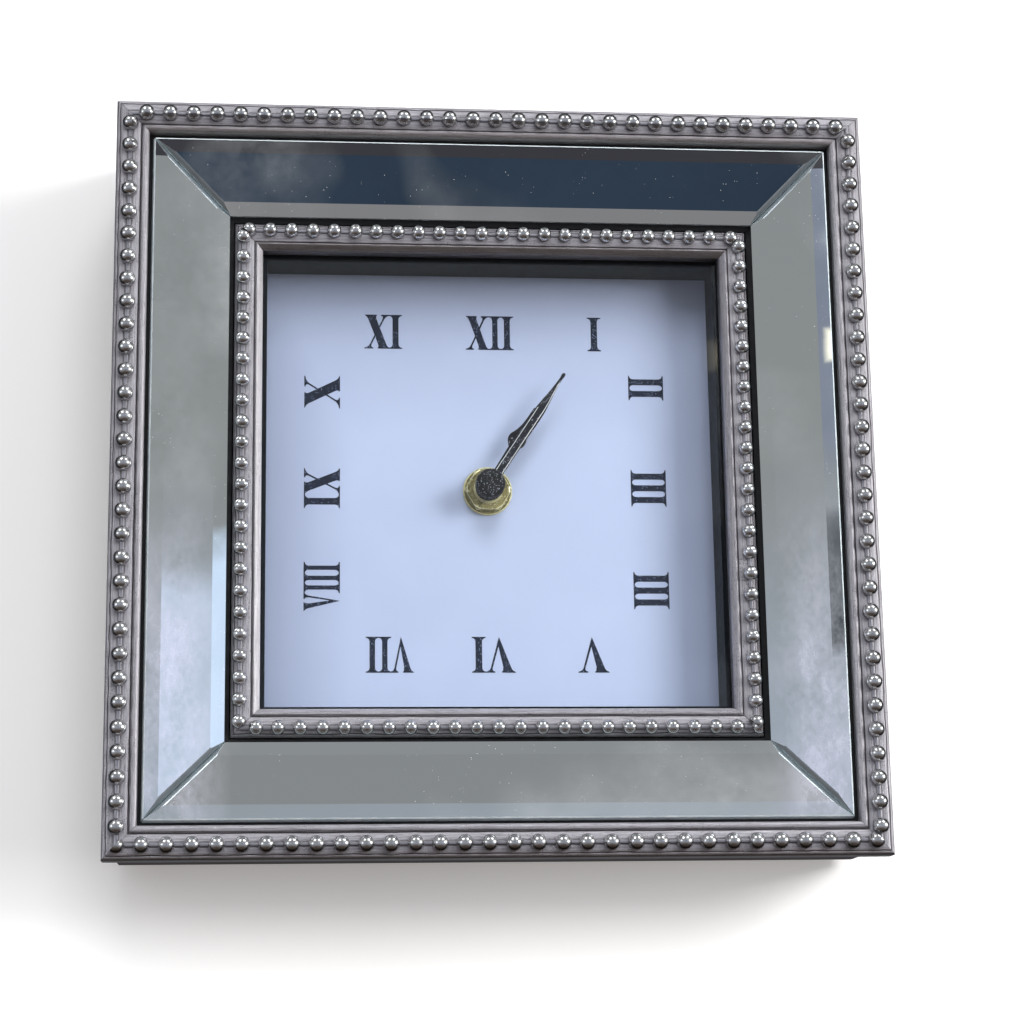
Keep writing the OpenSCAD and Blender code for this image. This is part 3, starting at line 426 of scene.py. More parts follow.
# plain finishes: dark tone, light tone, roughness, metallic, then what differs from the usual
plainFinishes = {
    "endBevel": ((0.4, 0.45, 0.47), (0.56, 0.62, 0.65), 0.35, 1.0, {"scale": 200.0, "bump": 0.02}),
    "glassEdge": ((0.6, 0.72, 0.76), (0.9, 0.98, 1.0), 0.25, 0.0, {"scale": 300.0, "bump": 0.3}),
    "recessPaint": ((0.005, 0.007, 0.01), (0.009, 0.012, 0.017), 0.6, 0.0, {"scale": 300.0, "specular": 0.1}),
    "dialInk": ((0.002, 0.005, 0.016), (0.007, 0.012, 0.034), 0.5, 0.0, {
        "scale": 900.0, "grain": 0.9, "speckColor": (0.22, 0.27, 0.44), "specular": 0.1}),
    "hardboard": ((0.23, 0.14, 0.075), (0.34, 0.22, 0.12), 0.75, 0.0, {
        "scale": 500.0, "grain": 0.9, "bump": 0.4}),
    "zincSteel": ((0.42, 0.42, 0.4), (0.62, 0.62, 0.6), 0.32, 1.0, {"scale": 400.0}),
    "brass": ((0.25, 0.2, 0.05), (0.8, 0.7, 0.32), 0.22, 1.0, {"scale": 420.0, "grain": 0.9, "bump": 0.5}),
    "casePlastic": ((0.012, 0.012, 0.013), (0.022, 0.022, 0.024), 0.42, 0.0, {"scale": 2500.0, "bump": 0.25}),
    "rubber": ((0.01, 0.01, 0.01), (0.025, 0.025, 0.025), 0.7, 0.0, {"scale": 600.0}),
    "padFelt": ((0.5, 0.48, 0.44), (0.66, 0.64, 0.6), 0.9, 0.0, {"scale": 900.0, "grain": 1.0, "bump": 0.8}),
    "acetal": ((0.68, 0.66, 0.58), (0.76, 0.74, 0.68), 0.3, 0.0, {"scale": 300.0}),
    "magnet": ((0.05, 0.05, 0.055), (0.1, 0.1, 0.11), 0.4, 0.6, {}),
    "copperWire": ((0.3, 0.1, 0.03), (0.62, 0.27, 0.1), 0.25, 0.8, {"scale": 900.0, "bump": 0.6}),
    "boardGreen": ((0.015, 0.1, 0.035), (0.03, 0.16, 0.06), 0.3, 0.0, {}),
    "cellWrap": ((0.03, 0.033, 0.04), (0.05, 0.055, 0.065), 0.3, 0.0, {"coat": 0.5}),
    "handEnamel": ((0.002, 0.0025, 0.006), (0.008, 0.009, 0.018), 0.45, 0.0, {
        "scale": 900.0, "grain": 0.9, "bump": 0.4, "speckColor": (0.46, 0.5, 0.6), "specular": 0.12}),
    # a pale painted highlight for the fold slopes of the minute hand
    "foldHighlight": ((0.8, 0.81, 0.85), (0.95, 0.96, 1.0), 0.35, 0.1, {"scale": 700.0, "bump": 0.2}),
    "capPaint": ((0.001, 0.001, 0.002), (0.008, 0.008, 0.012), 0.4, 0.0, {
        "scale": 1500.0, "grain": 1.0, "bump": 0.9, "speckColor": (0.62, 0.66, 0.76), "speckScale": 2500.0,
        "specular": 0.15}),
    "nutBrass": ((0.09, 0.075, 0.025), (0.66, 0.58, 0.27), 0.28, 0.7, {
        "scale": 1100.0, "grain": 1.0, "bump": 1.0, "speckColor": (0.9, 0.86, 0.6), "speckScale": 1500.0}),
    # pale brass: the stem bushing's own finish, and a painted highlight on the nut's edges and the washer's
    # rim
    "brightBrassAndEdgeHighlight": ((0.7, 0.64, 0.34), (0.95, 0.92, 0.64), 0.3, 0.3, {"scale": 500.0, "bump": 0.3})}
finishes = {"clearGlass": makeClearGlass(), "silveredGlass": mirrorGlass, "pewterFoil": pewterFoil,
            "beadMetal": beadMetal, "dialPaper": makeDialPaper(), "frameWood": makeFrameWood()}
for title, (dark, light, roughness, metallic, extras) in plainFinishes.items():
    finishes[title] = plainFinish(title, dark, light, roughness, metallic, **extras)

keptNodes = {
    "clearGlass": ["dial_glass"], "recessPaint": ["recess_liner"], "dialPaper": ["dial_card"],
    "dialInk": ["dial_numerals"], "hardboard": ["dial_board"],
    "frameWood": ["frame_rail_" + side for side in sides],
    "brass": ["turn_button_" + side for side in sides] + ["minute_arbor"], "brightBrassAndEdgeHighlight": ["stem_bushing"],
    "zincSteel": ["button_screws", "hanger", "hanger_nails", "stator", "battery_contacts"],
    "padFelt": ["corner_pads"], "casePlastic": ["movement_case", "movement_lid", "setting_knob"],
    "rubber": ["gasket"], "magnet": ["rotor"], "copperWire": ["coil"], "boardGreen": ["circuit_board"],
    "acetal": ["centre_wheel", "hour_wheel", "motion_wheel", "third_wheel", "seconds_wheel",
               "intermediate_wheel"],
    "cellWrap": ["battery"]}
for finish, names in keptNodes.items():
    for name in names:
        mesh = nodes[name].data
        mesh.materials.clear()
        mesh.materials.append(finishes[finish])
print("materials made")


# mesh helpers

def turnTo(side):  # the top side's place turned to another side
    return Matrix.Rotation(math.radians(-90 * sides.index(side)), 4, "Z")


def finishPiece(bm, name, body, materials, place, smoothAngle):  # stands for the node of this name
    bmesh.ops.transform(bm, matrix=place, verts=bm.verts)
    bmesh.ops.transform(bm, matrix=standUp, verts=bm.verts)
    mesh = bpy.data.meshes.new(name)
    for edge in bm.edges:
        sharp = len(edge.link_faces) != 2 or edge.calc_face_angle(0) > math.radians(smoothAngle)
        edge.smooth = not sharp
    for face in bm.faces:
        face.smooth = True
    bm.to_mesh(mesh)
    bm.free()
    for material in materials:
        mesh.materials.append(finishes[material])
    piece = bpy.data.objects.new(name, mesh)
    bpy.context.scene.collection.objects.link(piece)
    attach(piece, body)
    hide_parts(name)


# mouldings: a section drawn out along the side, cut at both mitres

outerRail = {
    "section": [(91.4, -8), (91.4, -1.75), (91.46, -1.3), (91.62, -0.95), (91.88, -0.7), (92.2, -0.55),
                (92.65, -0.5), (92.9, -0.6), (93.02, -0.9), (93.1, -1.2), (93.3, -1.3), (93.5, -1.22),
                (93.9, -1.0), (94.6, -0.78), (95.4, -0.62), (96.1, -0.55), (96.8, -0.57), (97.6, -0.64),
                (98.3, -0.76), (98.8, -0.9), (98.95, -1.04), (99.12, -1.0), (99.45, -1.06), (99.72, -1.26),
                (99.9, -1.6), (99.98, -2.1), (99.99, -7.4), (99.85, -7.8), (99.5, -8)],
    "rimLine": 98.95, "groove": 93.42, "beads": 96.3, "wallBelow": -1.8, "wallInside": 95, "wallShade": 1.0,
    "lipShade": {"top": 0.6}, "lipHighlight": {"left": 0.1}, "rimShade": {"bottom": 0.8}}
innerRail = {
    "section": [(61.3, -12), (61.3, -9.05), (61.36, -8.75), (61.55, -8.45), (61.95, -7.95), (62.45, -7.4),
                (62.8, -7.12), (63.0, -7.2), (63.08, -7.6), (63.15, -7.75), (63.35, -7.75), (63.5, -7.6),
                (64.1, -7.4), (64.9, -7.2), (65.7, -7.07), (66.4, -7.03), (67.0, -7.15), (67.6, -7.5),
                (68.0, -7.95), (68.3, -8.3), (68.6, -8.75), (68.75, -9.3), (68.78, -11.7), (68.6, -12)],
    "rimLine": 67.9, "groove": 63.45, "beads": 66.4, "wallBelow": -9.0, "wallInside": 69, "wallShade": 0.5,
    "lipShade": {"top": 0.95}, "lipHighlight": {"left": 0.35}, "rimShade": {"bottom": 0.5}}


def drawOut(bm, section, half=105):  # the section's face, drawn along the side
    face = bm.faces.new([bm.verts.new((-half, r, z)) for r, z in section])
    grown = bmesh.ops.extrude_face_region(bm, geom=[face])
    moved = [v for v in grown["geom"] if isinstance(v, bmesh.types.BMVert)]
    bmesh.ops.translate(bm, verts=moved, vec=(2 * half, 0, 0))


def cutAway(bm, spot, normal, fill=True, near=0.0):  # what lies farther than near on the normal's side goes
    everything = bm.verts[:] + bm.edges[:] + bm.faces[:]
    cut = bmesh.ops.bisect_plane(bm, geom=everything, dist=near, plane_co=spot, plane_no=normal,
                                 clear_outer=True)
    if fill:
        rim = [e for e in cut["geom_cut"] if isinstance(e, bmesh.types.BMEdge)]
        bmesh.ops.holes_fill(bm, edges=rim, sides=0)


def breakEdges(bm, edges, offset):  # flat bevels in the piece's second material
    bmesh.ops.bevel(bm, geom=edges, offset=offset, affect="EDGES", segments=1, profile=0.5, material=1)


def cutMitres(bm, gap=0.06, fill=True):
    for sign in (-1, 1):
        cutAway(bm, (0, gap, 0), (sign, -1, 0), fill)


def makeRail(settings, name, side):
    bm = bmesh.new()
    drawOut(bm, settings["section"])
    cutMitres(bm)
    bmesh.ops.recalc_face_normals(bm, faces=bm.faces)
    around = {}
    run = 0
    for i, (r, z) in enumerate(settings["section"]):
        run += math.dist((r, z), settings["section"][i - 1]) if i else 0
        around[(round(r, 2), round(z, 2))] = run
    uv = bm.loops.layers.uv.new("alongRail")
    layer = bm.verts.layers.float
    fromRim, fromGroove, fromBeads = [layer.new(title) for title in ("fromRim", "fromGroove", "fromBeads")]
    deep, paintedShade, paintedHighlight = [layer.new(title) for title in ("deep", "paintedShade", "paintedHighlight")]
    for vert in bm.verts:
        # lips and rims that face down get painted shade, and the left lips, which face the light, get a
        # painted highlight; each side's share is set in the rail settings
        lip = min(1, max(0, (settings["groove"] - 0.1 - vert.co.y) / 0.8))
        rim = min(1, max(0, (vert.co.y - settings["rimLine"] + 0.1) / 0.8))
        vert[paintedShade] = lip * settings["lipShade"].get(side, 0) + rim * settings["rimShade"].get(side, 0)
        vert[paintedHighlight] = lip * settings["lipHighlight"].get(side, 0)
        vert[fromRim] = vert.co.y - settings["rimLine"]
        vert[fromGroove] = vert.co.y - settings["groove"]
        vert[fromBeads] = vert.co.y - settings["beads"]
        # the walls below the lip get painted shade, strongest on the outer rail's wall beside the mirrors
        onWall = vert.co.z < settings["wallBelow"] and vert.co.y < settings["wallInside"]
        vert[deep] = settings["wallShade"] if onWall else 0.0
    for face in bm.faces:
        for loop in face.loops:
            spot = loop.vert.co
            up = around.get((round(spot.y, 2), round(spot.z, 2)), 0)
            loop[uv].uv = (spot.x + 400 * sides.index(side), up)  # 400 keeps the brushing of the sides apart
    finishPiece(bm, name, "clock_body", ["pewterFoil"], turnTo(side), 40)


for side in sides:
    makeRail(outerRail, "outer_rail_" + side, side)
    makeRail(innerRail, "inner_rail_" + side, side)
print("mouldings made")


# beads on a folded rib

outerBeads = {"line": outerRail["beads"], "height": 0, "across": 4.3, "pitch": 6.17, "sink": 1.35,
              "shift": {"top": 0.5, "right": 0.2, "bottom": -2.5, "left": 0.8}}
innerBeads = {"line": innerRail["beads"], "height": -6.5, "across": 3.85, "pitch": 5.62, "sink": 1.2,
              "shift": {"top": 2.44, "right": -2.18, "bottom": 0.38, "left": 2.64}}


def makeBeads(settings, name, side):
    line, z, radius = settings["line"], settings["height"], settings["across"] / 2
    bm = bmesh.new()
    paintedShade = bm.verts.layers.float.new("paintedShade")
    rib = bm.verts.layers.float.new("rib")
    spare = bmesh.new()
    bmesh.ops.create_uvsphere(spare, u_segments=16, v_segments=10, radius=radius)
    cutAway(spare, (0, 0, -settings["sink"]), (0, 0, -1), False)
    spareMesh = bpy.data.meshes.new("oneBead")
    spare.to_mesh(spareMesh)
    spare.free()
    count = math.ceil(2 * line / settings["pitch"])
    for i in range(-count, count + 1):
        x = settings["shift"][side] + i * settings["pitch"]
        if abs(x) > line + radius * 0.6:
            continue
        before = len(bm.verts)
        bm.from_mesh(spareMesh)
        bm.verts.ensure_lookup_table()
        fresh = bm.verts[before:]
        turn = Matrix.Rotation(random.uniform(0, 0.4), 4, "Z")
        squash = [random.uniform(low, high) for low, high in ((0.98, 1.03), (0.98, 1.02), (0.97, 1.02))]
        shift = Matrix.Translation((x + random.uniform(-0.06, 0.06), line + random.uniform(-0.05, 0.05), z))
        bmesh.ops.transform(bm, matrix=shift @ turn @ Matrix.Diagonal((*squash, 1)), verts=fresh)
    bpy.data.meshes.remove(spareMesh)
    # painted shade at the foot of each bead, where it sits down in the rail
    for vert in bm.verts:
        vert[paintedShade] = min(1, max(0, (z + 0.25 - vert.co.z) / 0.6)) ** 1.5
    ridge = bmesh.new()
    rise = [(-0.6, -0.75), (-0.52, -0.48), (-0.3, -0.26), (0.3, -0.26), (0.52, -0.48), (0.6, -0.75)]
    drawOut(ridge, [(line + r, z + h) for r, h in rise], line)
    ribMesh = bpy.data.meshes.new("rib")
    ridge.to_mesh(ribMesh)
    ridge.free()
    before = len(bm.verts)
    bm.from_mesh(ribMesh)
    bm.verts.ensure_lookup_table()
    # painted shade along the rib's foot
    for vert in bm.verts[before:]:
        vert[paintedShade] = 1.0 if vert.co.z < z - 0.6 else 0.5 if vert.co.z < z - 0.4 else 0.0
        vert[rib] = 1.0
    bpy.data.meshes.remove(ribMesh)
    cutMitres(bm, fill=False)
    bmesh.ops.recalc_face_normals(bm, faces=bm.faces)
    finishPiece(bm, name, "clock_body", ["beadMetal"], turnTo(side), 75)


for side in sides:
    makeBeads(outerBeads, "outer_beads_" + side, side)
    makeBeads(innerBeads, "inner_beads_" + side, side)
print("beads made")


# mirror panels: a slab of glass with a wide ground bevel along the long edges and a narrow one at the mitres

mirrorPanel = {"inner": (70.1, -6.5), "outer": (90.0, -2.0), "bevel": 3.7, "drop": 0.7, "edge": 2.3,
               "endBevel": 1.5, "gap": 0.18, "arris": 0.28, "endArris": 0.18}


def makeMirrorPanel(name, side):
    inner, outer = Vector(mirrorPanel["inner"]), Vector(mirrorPanel["outer"])
    along = (outer - inner).normalized()
    up = Vector((-along.y, along.x))
    run = (outer - inner).length
    bevel, drop, edge, gap = [mirrorPanel[title] for title in ("bevel", "drop", "edge", "gap")]

    def onGlass(s, h):
        return inner + along * s + up * h

    bm = bmesh.new()
    spots = [(0, -edge), (0, 0), (bevel, drop), (run - bevel, drop), (run, 0), (run, -edge)]
    drawOut(bm, [tuple(onGlass(s, h)) for s, h in spots])
    cutMitres(bm, gap)
    inside, outside, high = onGlass(0, 0), onGlass(run, 0), onGlass(bevel, drop)
    for sign in (-1, 1):
        a = Vector((sign * (inside.x - gap), inside.x, inside.y))
        b = Vector((sign * (outside.x - gap), outside.x, outside.y))
        c = Vector((sign * (high.x - gap - mirrorPanel["endBevel"]), high.x, high.y))
        normal = (b - a).cross(c - a).normalized()
        if normal.z < 0:
            normal.negate()
        cutAway(bm, a, normal, near=0.0001)  # the corners at a and b are on this plane
    bmesh.ops.recalc_face_normals(bm, faces=bm.faces)
    outerLine = [e for e in bm.edges if all((v.co.yz - outside).length < 0.01 for v in e.verts)]
    topLines = [e for e in bm.edges if all(abs((v.co.yz - inner).dot(up) - drop) < 0.01 for v in e.verts)]
    topEnds = [e for e in topLines if abs(e.verts[0].co.y - e.verts[1].co.y) > 1]
    breakEdges(bm, outerLine, mirrorPanel["arris"])
    breakEdges(bm, topEnds, mirrorPanel["endArris"])
    for face in bm.faces:
        if abs(face.normal.z) < 0.5 or face.normal.z < 0:
            face.material_index = 1
        elif abs(face.normal.x) > 0.15 and face.calc_area() > 5:
            face.material_index = 2
    materials = ["silveredGlass", "glassEdge", "endBevel"]
    finishPiece(bm, name, "clock_body", materials, turnTo(side), 1)


for side in sides:
    makeMirrorPanel("mirror_" + side, side)
print("mirrors made")


# hands: thin stamped metal with a raised fold, laid along y and turned to the time

minuteHand = {"length": 37.6, "turn": 33.5, "height": -18.8, "hub": 3.3, "hole": 1.45, "thick": 0.35,
              "highlightTo": (24, 34),
              "shape": [(0.0, 1.3), (0.3, 1.25), (0.45, 1.35), (0.58, 1.48), (0.68, 1.4), (0.76, 1.05),
                        (0.84, 0.65), (0.92, 0.42), (0.96, 0.38), (0.975, 0.5), (0.99, 0.48), (1, 0.25)]}
hourHand = {"length": 25.4, "turn": 30.4, "height": -20.6, "hub": 3.6, "hole": 2.7, "thick": 0.4,
            "bulge": 15.24}


def setOnDial(turn, height=0):
    return Matrix.Translation((*dialAt, height)) @ Matrix.Rotation(math.radians(-turn), 4, "Z")


def paintFoldHighlights(bm, reach):  # the outer slopes of the folds, narrow, in a pale finish: a painted highlight where the folds catch the light
    for face in bm.faces:
        spot = face.calc_center_median()
        if face.tag and spot.y < reach[0 if spot.x < 0 else 1]:
            face.material_index = 1


def thicken(bm, depth, z):  # flat faces at height z grown to a plate of this depth below it
    grown = bmesh.ops.extrude_face_region(bm, geom=bm.faces[:])
    moved = [v for v in grown["geom"] if isinstance(v, bmesh.types.BMVert)]
    bmesh.ops.translate(bm, verts=moved, vec=(0, 0, -depth))
    bmesh.ops.translate(bm, verts=bm.verts, vec=(0, 0, z))
    bmesh.ops.recalc_face_normals(bm, faces=bm.faces)


def addRing(bm, outside, inside, count=40):
    rings = [bmesh.ops.create_circle(bm, segments=count, radius=r)["verts"] for r in (outside, inside)]
    edges = {e for ring in rings for v in ring for e in v.link_edges}
    bmesh.ops.bridge_loops(bm, edges=list(edges))


def finishHand(bm, settings, name, body, materials):
    addRing(bm, settings["hub"], settings["hole"])
    thicken(bm, settings["thick"], settings["height"] + 0.4)
    finishPiece(bm, name, body, materials, setOnDial(settings["turn"]), 12)


def makeMinuteHand():
    bm = bmesh.new()
    length = minuteHand["length"]
    rows = []
    for share, half in minuteHand["shape"]:
        y = share * length if share else minuteHand["hub"] - 0.6
        fold = min(0.98, half * 0.78)
        edge = max(0.02, fold - 0.15)
        across = ((-half, 0), (-fold, 0.04), (-edge, 0.15), (0, 0.1), (edge, 0.15), (fold, 0.04), (half, 0))
        rows.append([bm.verts.new((x, y, z)) for x, z in across])
    for low, high in zip(rows, rows[1:]):
        for i in range(6):
            bm.faces.new((low[i], low[i + 1], high[i + 1], high[i])).tag = i in (1, 4)
    paintFoldHighlights(bm, minuteHand["highlightTo"])
    finishHand(bm, minuteHand, "minute_hand", "minute_work", ["handEnamel", "foldHighlight"])


def makeHourHand():
    bm = bmesh.new()
    bulge, length = hourHand["bulge"], hourHand["length"]
    rows = []
    halves = [(3.0, 1.3), (bulge - 2.6, 1.1), (bulge - 2.3, 1.35), (bulge - 1.6, 1.95), (bulge - 0.8, 2.38),
              (bulge, 2.5), (bulge + 0.8, 2.38), (bulge + 1.5, 2.0), (bulge + 2.7, 1.45), (bulge + 4.3, 0.95),
              (bulge + 6.5, 0.65), (length, 0.45)]
    for y, half in halves:
        fold = half * 0.6
        across = ((-half, 0), (-fold, 0.14), (0, 0.06), (fold, 0.14), (half, 0))
        rows.append([bm.verts.new((x, y, z)) for x, z in across])
    for low, high in zip(rows, rows[1:]):
        for i in range(4):
            bm.faces.new((low[i], low[i + 1], high[i + 1], high[i]))
    finishHand(bm, hourHand, "hour_hand", "hour_work", ["handEnamel"])


makeMinuteHand()
makeHourHand()


def lathe(bm, profile, count=64):  # a profile of distance and height, turned about the axis
    spots = [bm.verts.new((r, 0, z)) for r, z in profile]
    edges = [bm.edges.new(pair) for pair in zip(spots, spots[1:])]
    bmesh.ops.spin(bm, geom=spots + edges, cent=(0, 0, 0), axis=(0, 0, 1), angle=2 * math.pi, steps=count,
                   use_merge=True)
    bmesh.ops.remove_doubles(bm, verts=bm.verts, dist=0.0005)
    bmesh.ops.recalc_face_normals(bm, faces=bm.faces)


capNut = {"radius": 3.9, "height": 4.2, "bore": 1.5, "at": -18.4, "rough": (-0.09, 0.05)}


def makeCap():
    bm = bmesh.new()
    r, h = capNut["radius"], capNut["height"]
    side = [(r - 0.02 * (i % 2), 0.3 + (h - 0.9) * i / 12) for i in range(13)]
    rim = [(r - 0.1, h - 0.35), (r - 0.25, h - 0.15), (r - 0.6, h)]
    top = [(r - 0.6 - i * 0.33, h - 0.01 * i) for i in range(1, 10)]
    lathe(bm, [(capNut["bore"], 0), (r - 0.3, 0)] + side + rim + top + [(0, h - 0.1)], 96)
    for vert in bm.verts:
        if vert.co.z > 0.2:
            away = Vector((vert.co.x, vert.co.y, 0))
            push = random.uniform(*capNut["rough"])
            if away.length > r - 0.4:
                vert.co += away.normalized() * push
            else:
                vert.co.z += push * 0.8
    finishPiece(bm, "cap_nut", "minute_work", ["capPaint"], setOnDial(0, capNut["at"]), 30)


makeCap()
print("hands made")


# brass washer and nut over the threaded stem

hexNut = {"hole": 4.0, "flats": 11.0, "thick": 2.2, "chamfer": 0.35, "arris": 0.14, "at": -24.6}
discWasher = {"hole": 4.1, "radius": 6.65, "thick": 0.6, "at": -25.2}


def makeNut():
    bm = bmesh.new()
    hole, flat, top, cut = hexNut["hole"], hexNut["flats"] / 2, hexNut["thick"], hexNut["chamfer"]
    lathe(bm, [(hole, 0), (flat + 0.2, 0), (flat + 0.85, cut), (flat + 0.85, top - cut), (flat + 0.2, top),
               (flat - 0.5, top), (flat - 0.62, top - 0.1), (flat - 0.74, top), (hole, top), (hole, 0)])
    for i in range(6):
        turn = math.radians(30 + 60 * i)
        way = Vector((math.cos(turn), math.sin(turn), 0))
        cutAway(bm, way * flat, way)
    edges = [e for e in bm.edges if len(e.link_faces) == 2 and e.calc_face_angle(0) > 0.4
             and min(v.co.xy.length for v in e.verts) > flat - 0.1]
    # the narrow bevels on the nut's edges take the pale brass, a painted highlight along them
    breakEdges(bm, edges, hexNut["arris"])
    place = setOnDial(0, hexNut["at"])
    finishPiece(bm, "hex_nut", "clock_body", ["nutBrass", "brightBrassAndEdgeHighlight"], place, 25)


def makeWasher():
    bm = bmesh.new()
    hole, r, top = discWasher["hole"], discWasher["radius"], discWasher["thick"]
    lathe(bm, [(hole, 0), (r - 0.15, 0), (r, 0.15), (r, top - 0.2), (r - 0.2, top), (r - 0.4, top - 0.05),
               (r - 0.55, top - 0.2), (r - 0.7, top - 0.02), (hole, top - 0.02), (hole, 0)])
    # the top of the raised rim takes the pale brass, a painted highlight along it
    for face in bm.faces:
        spot = face.calc_center_median()
        face.material_index = 1 if spot.xy.length > r - 0.42 and spot.z > top - 0.25 else 0
    place = setOnDial(0, discWasher["at"])
    finishPiece(bm, "washer", "clock_body", ["nutBrass", "brightBrassAndEdgeHighlight"], place, 30)


makeNut()
makeWasher()
print("nut and washer made")


# stage: a pale wall close behind the pads and a pale floor, each seen from its front only

backWall = {"behind": 0.0238, "color": (0.93, 0.93, 0.93), "glow": 0.185, "rise": 0.4, "across": 4}
ground = {"color": (0.8, 0.8, 0.8), "glow": 0.3, "middle": -1.0, "deep": 2.04, "across": 4}


def oneSided(name, color, glow, rise=0.0):  # the glow rises by this much below the clock
    mat, tree, shader = newTree(name)
    shader.inputs["Base Color"].default_value = (*color, 1)
    shader.inputs["Roughness"].default_value = 0.9
    shader.inputs["Specular IOR Level"].default_value = 0.0
    shader.inputs["Emission Color"].default_value = (1, 1, 1, 1)
    where = addNode(tree, "ShaderNodeSeparateXYZ")
    link(tree, objectCoords(tree), where.inputs[0])
    # painted light on the wall: the glow rises below the clock, and by a quarter as much again towards the
    # right below it, lightening the clock's cast shadow there
    low = mathNode(tree, "MULTIPLY", where.outputs[2], -1.0)
    lift = spread(tree, low, -0.008, 0.035, glow, glow + rise)
    aside = mathNode(tree, "MULTIPLY", spread(tree, where.outputs[0], -0.03, 0.09, 0.0, rise * 0.25),
                     spread(tree, low, -0.01, 0.02))
    link(tree, mathNode(tree, "ADD", lift, aside), shader.inputs["Emission Strength"])
    back = tree.nodes.new("ShaderNodeNewGeometry")
    clear = tree.nodes.new("ShaderNodeBsdfTransparent")
    mix = tree.nodes.new("ShaderNodeMixShader")
    link(tree, back.outputs["Backfacing"], mix.inputs[0])
    link(tree, shader.outputs[0], mix.inputs[1])
    link(tree, clear.outputs[0], mix.inputs[2])
    link(tree, mix.outputs[0], tree.nodes["Material Output"].inputs["Surface"])
    return mat


def makePlane(name, material, place, wide, high):
    bm = bmesh.new()
    bm.loops.layers.uv.new("plane")
    bmesh.ops.create_grid(bm, x_segments=1, y_segments=1, size=0.5, calc_uvs=True)
    bmesh.ops.transform(bm, matrix=place @ Matrix.Diagonal((wide, high, 1, 1)), verts=bm.verts)
    mesh = bpy.data.meshes.new(name)
    bm.to_mesh(mesh)
    bm.free()
    mesh.materials.append(material)
    plane = bpy.data.objects.new(name, mesh)
    bpy.context.scene.collection.objects.link(plane)
    return plane


wallPaint = oneSided("wallPaint", backWall["color"], backWall["glow"], backWall["rise"])
wallPlace = Matrix.Translation((0, backWall["behind"], midHeight)) @ upright
wall = makePlane("wall", wallPaint, wallPlace, backWall["across"], backWall["across"])
floorPaint = oneSided("floorPaint", ground["color"], ground["glow"])
floorPlace = Matrix.Translation((0, ground["middle"], 0))
floor = makePlane("floor", floorPaint, floorPlace, ground["across"], ground["deep"])
wall.visible_glossy = False
wall.visible_diffuse = False
floor.visible_shadow = False
floor.visible_diffuse = False
floor.visible_glossy = False


# cards seen only in reflections: the far side of the room as the metal and the mirrors see it, and one dark
# strip just in front of the top of the clock

def facing(spot):
    return Vector(spot).to_track_quat("Z", "Y").to_matrix().to_4x4()


cards = {
    "darkDoor": {"spot": (0.13, -1.5, 0.065), "size": (0.66, 0.16), "color": (0.04, 0.06, 0.095),
                 "soft": 0.05},
    # a painted reflection: a dark strip hung just in front of the top mirror's outer edge, there only to
    # darken what is reflected there
    "darkStripNearTop": {"spot": (0.0008, -0.027, 0.191), "size": (0.19, 0.0058), "color": (0.06, 0.058, 0.068),
                  "soft": 0.03, "upright": True},
    "darkPost": {"spot": (0.35, -1.5, 0.36), "size": (0.12, 0.14), "color": (0.085, 0.095, 0.115)},
    "paleWall": {"spot": (0.35, -1.5, 0.63), "size": (0.14, 0.36), "color": (0.3, 0.33, 0.42)},
    "brightStrip": {"spot": (0.373, -1.48, 0.65), "size": (0.072, 0.38), "color": (0.85, 0.92, 1.0),
                    "glow": 1.25, "soft": 0.06},
    "lampSpot": {"spot": (0.345, -1.46, 0.57), "size": (0.04, 0.034), "color": (1.0, 0.93, 0.72),
                 "glow": 4.0, "soft": 0.45},
    "lowWindow": {"spot": (0.65, -1.5, 0.29), "size": (0.38, 0.26), "color": (0.56, 0.63, 0.77),
                  "glow": 1.25},
    "sideWindow": {"spot": (1.55, -1.5, 0.36), "size": (0.5, 0.42), "color": (0.66, 0.8, 1.0),
                   "glow": 1.25},
    "paneRight": {"spot": (1.48, -0.6, 0.25), "size": (0.95, 0.75), "color": (1.0, 0.98, 0.94),
                  "glow": 4.6},
    "paneLeft": {"spot": (-1.38, -0.8, 0.16), "size": (0.65, 0.55), "color": (0.95, 0.97, 1.0),
                 "glow": 2.8},
    "paneHighRight": {"spot": (0.77, -0.83, 1.23), "size": (0.7, 0.75), "color": (0.97, 0.98, 1.0),
                      "glow": 5.0},
    "paneHighLeft": {"spot": (-0.68, -0.9, 1.23), "size": (0.6, 0.68), "color": (0.97, 0.98, 1.0),
                     "glow": 5.0}}


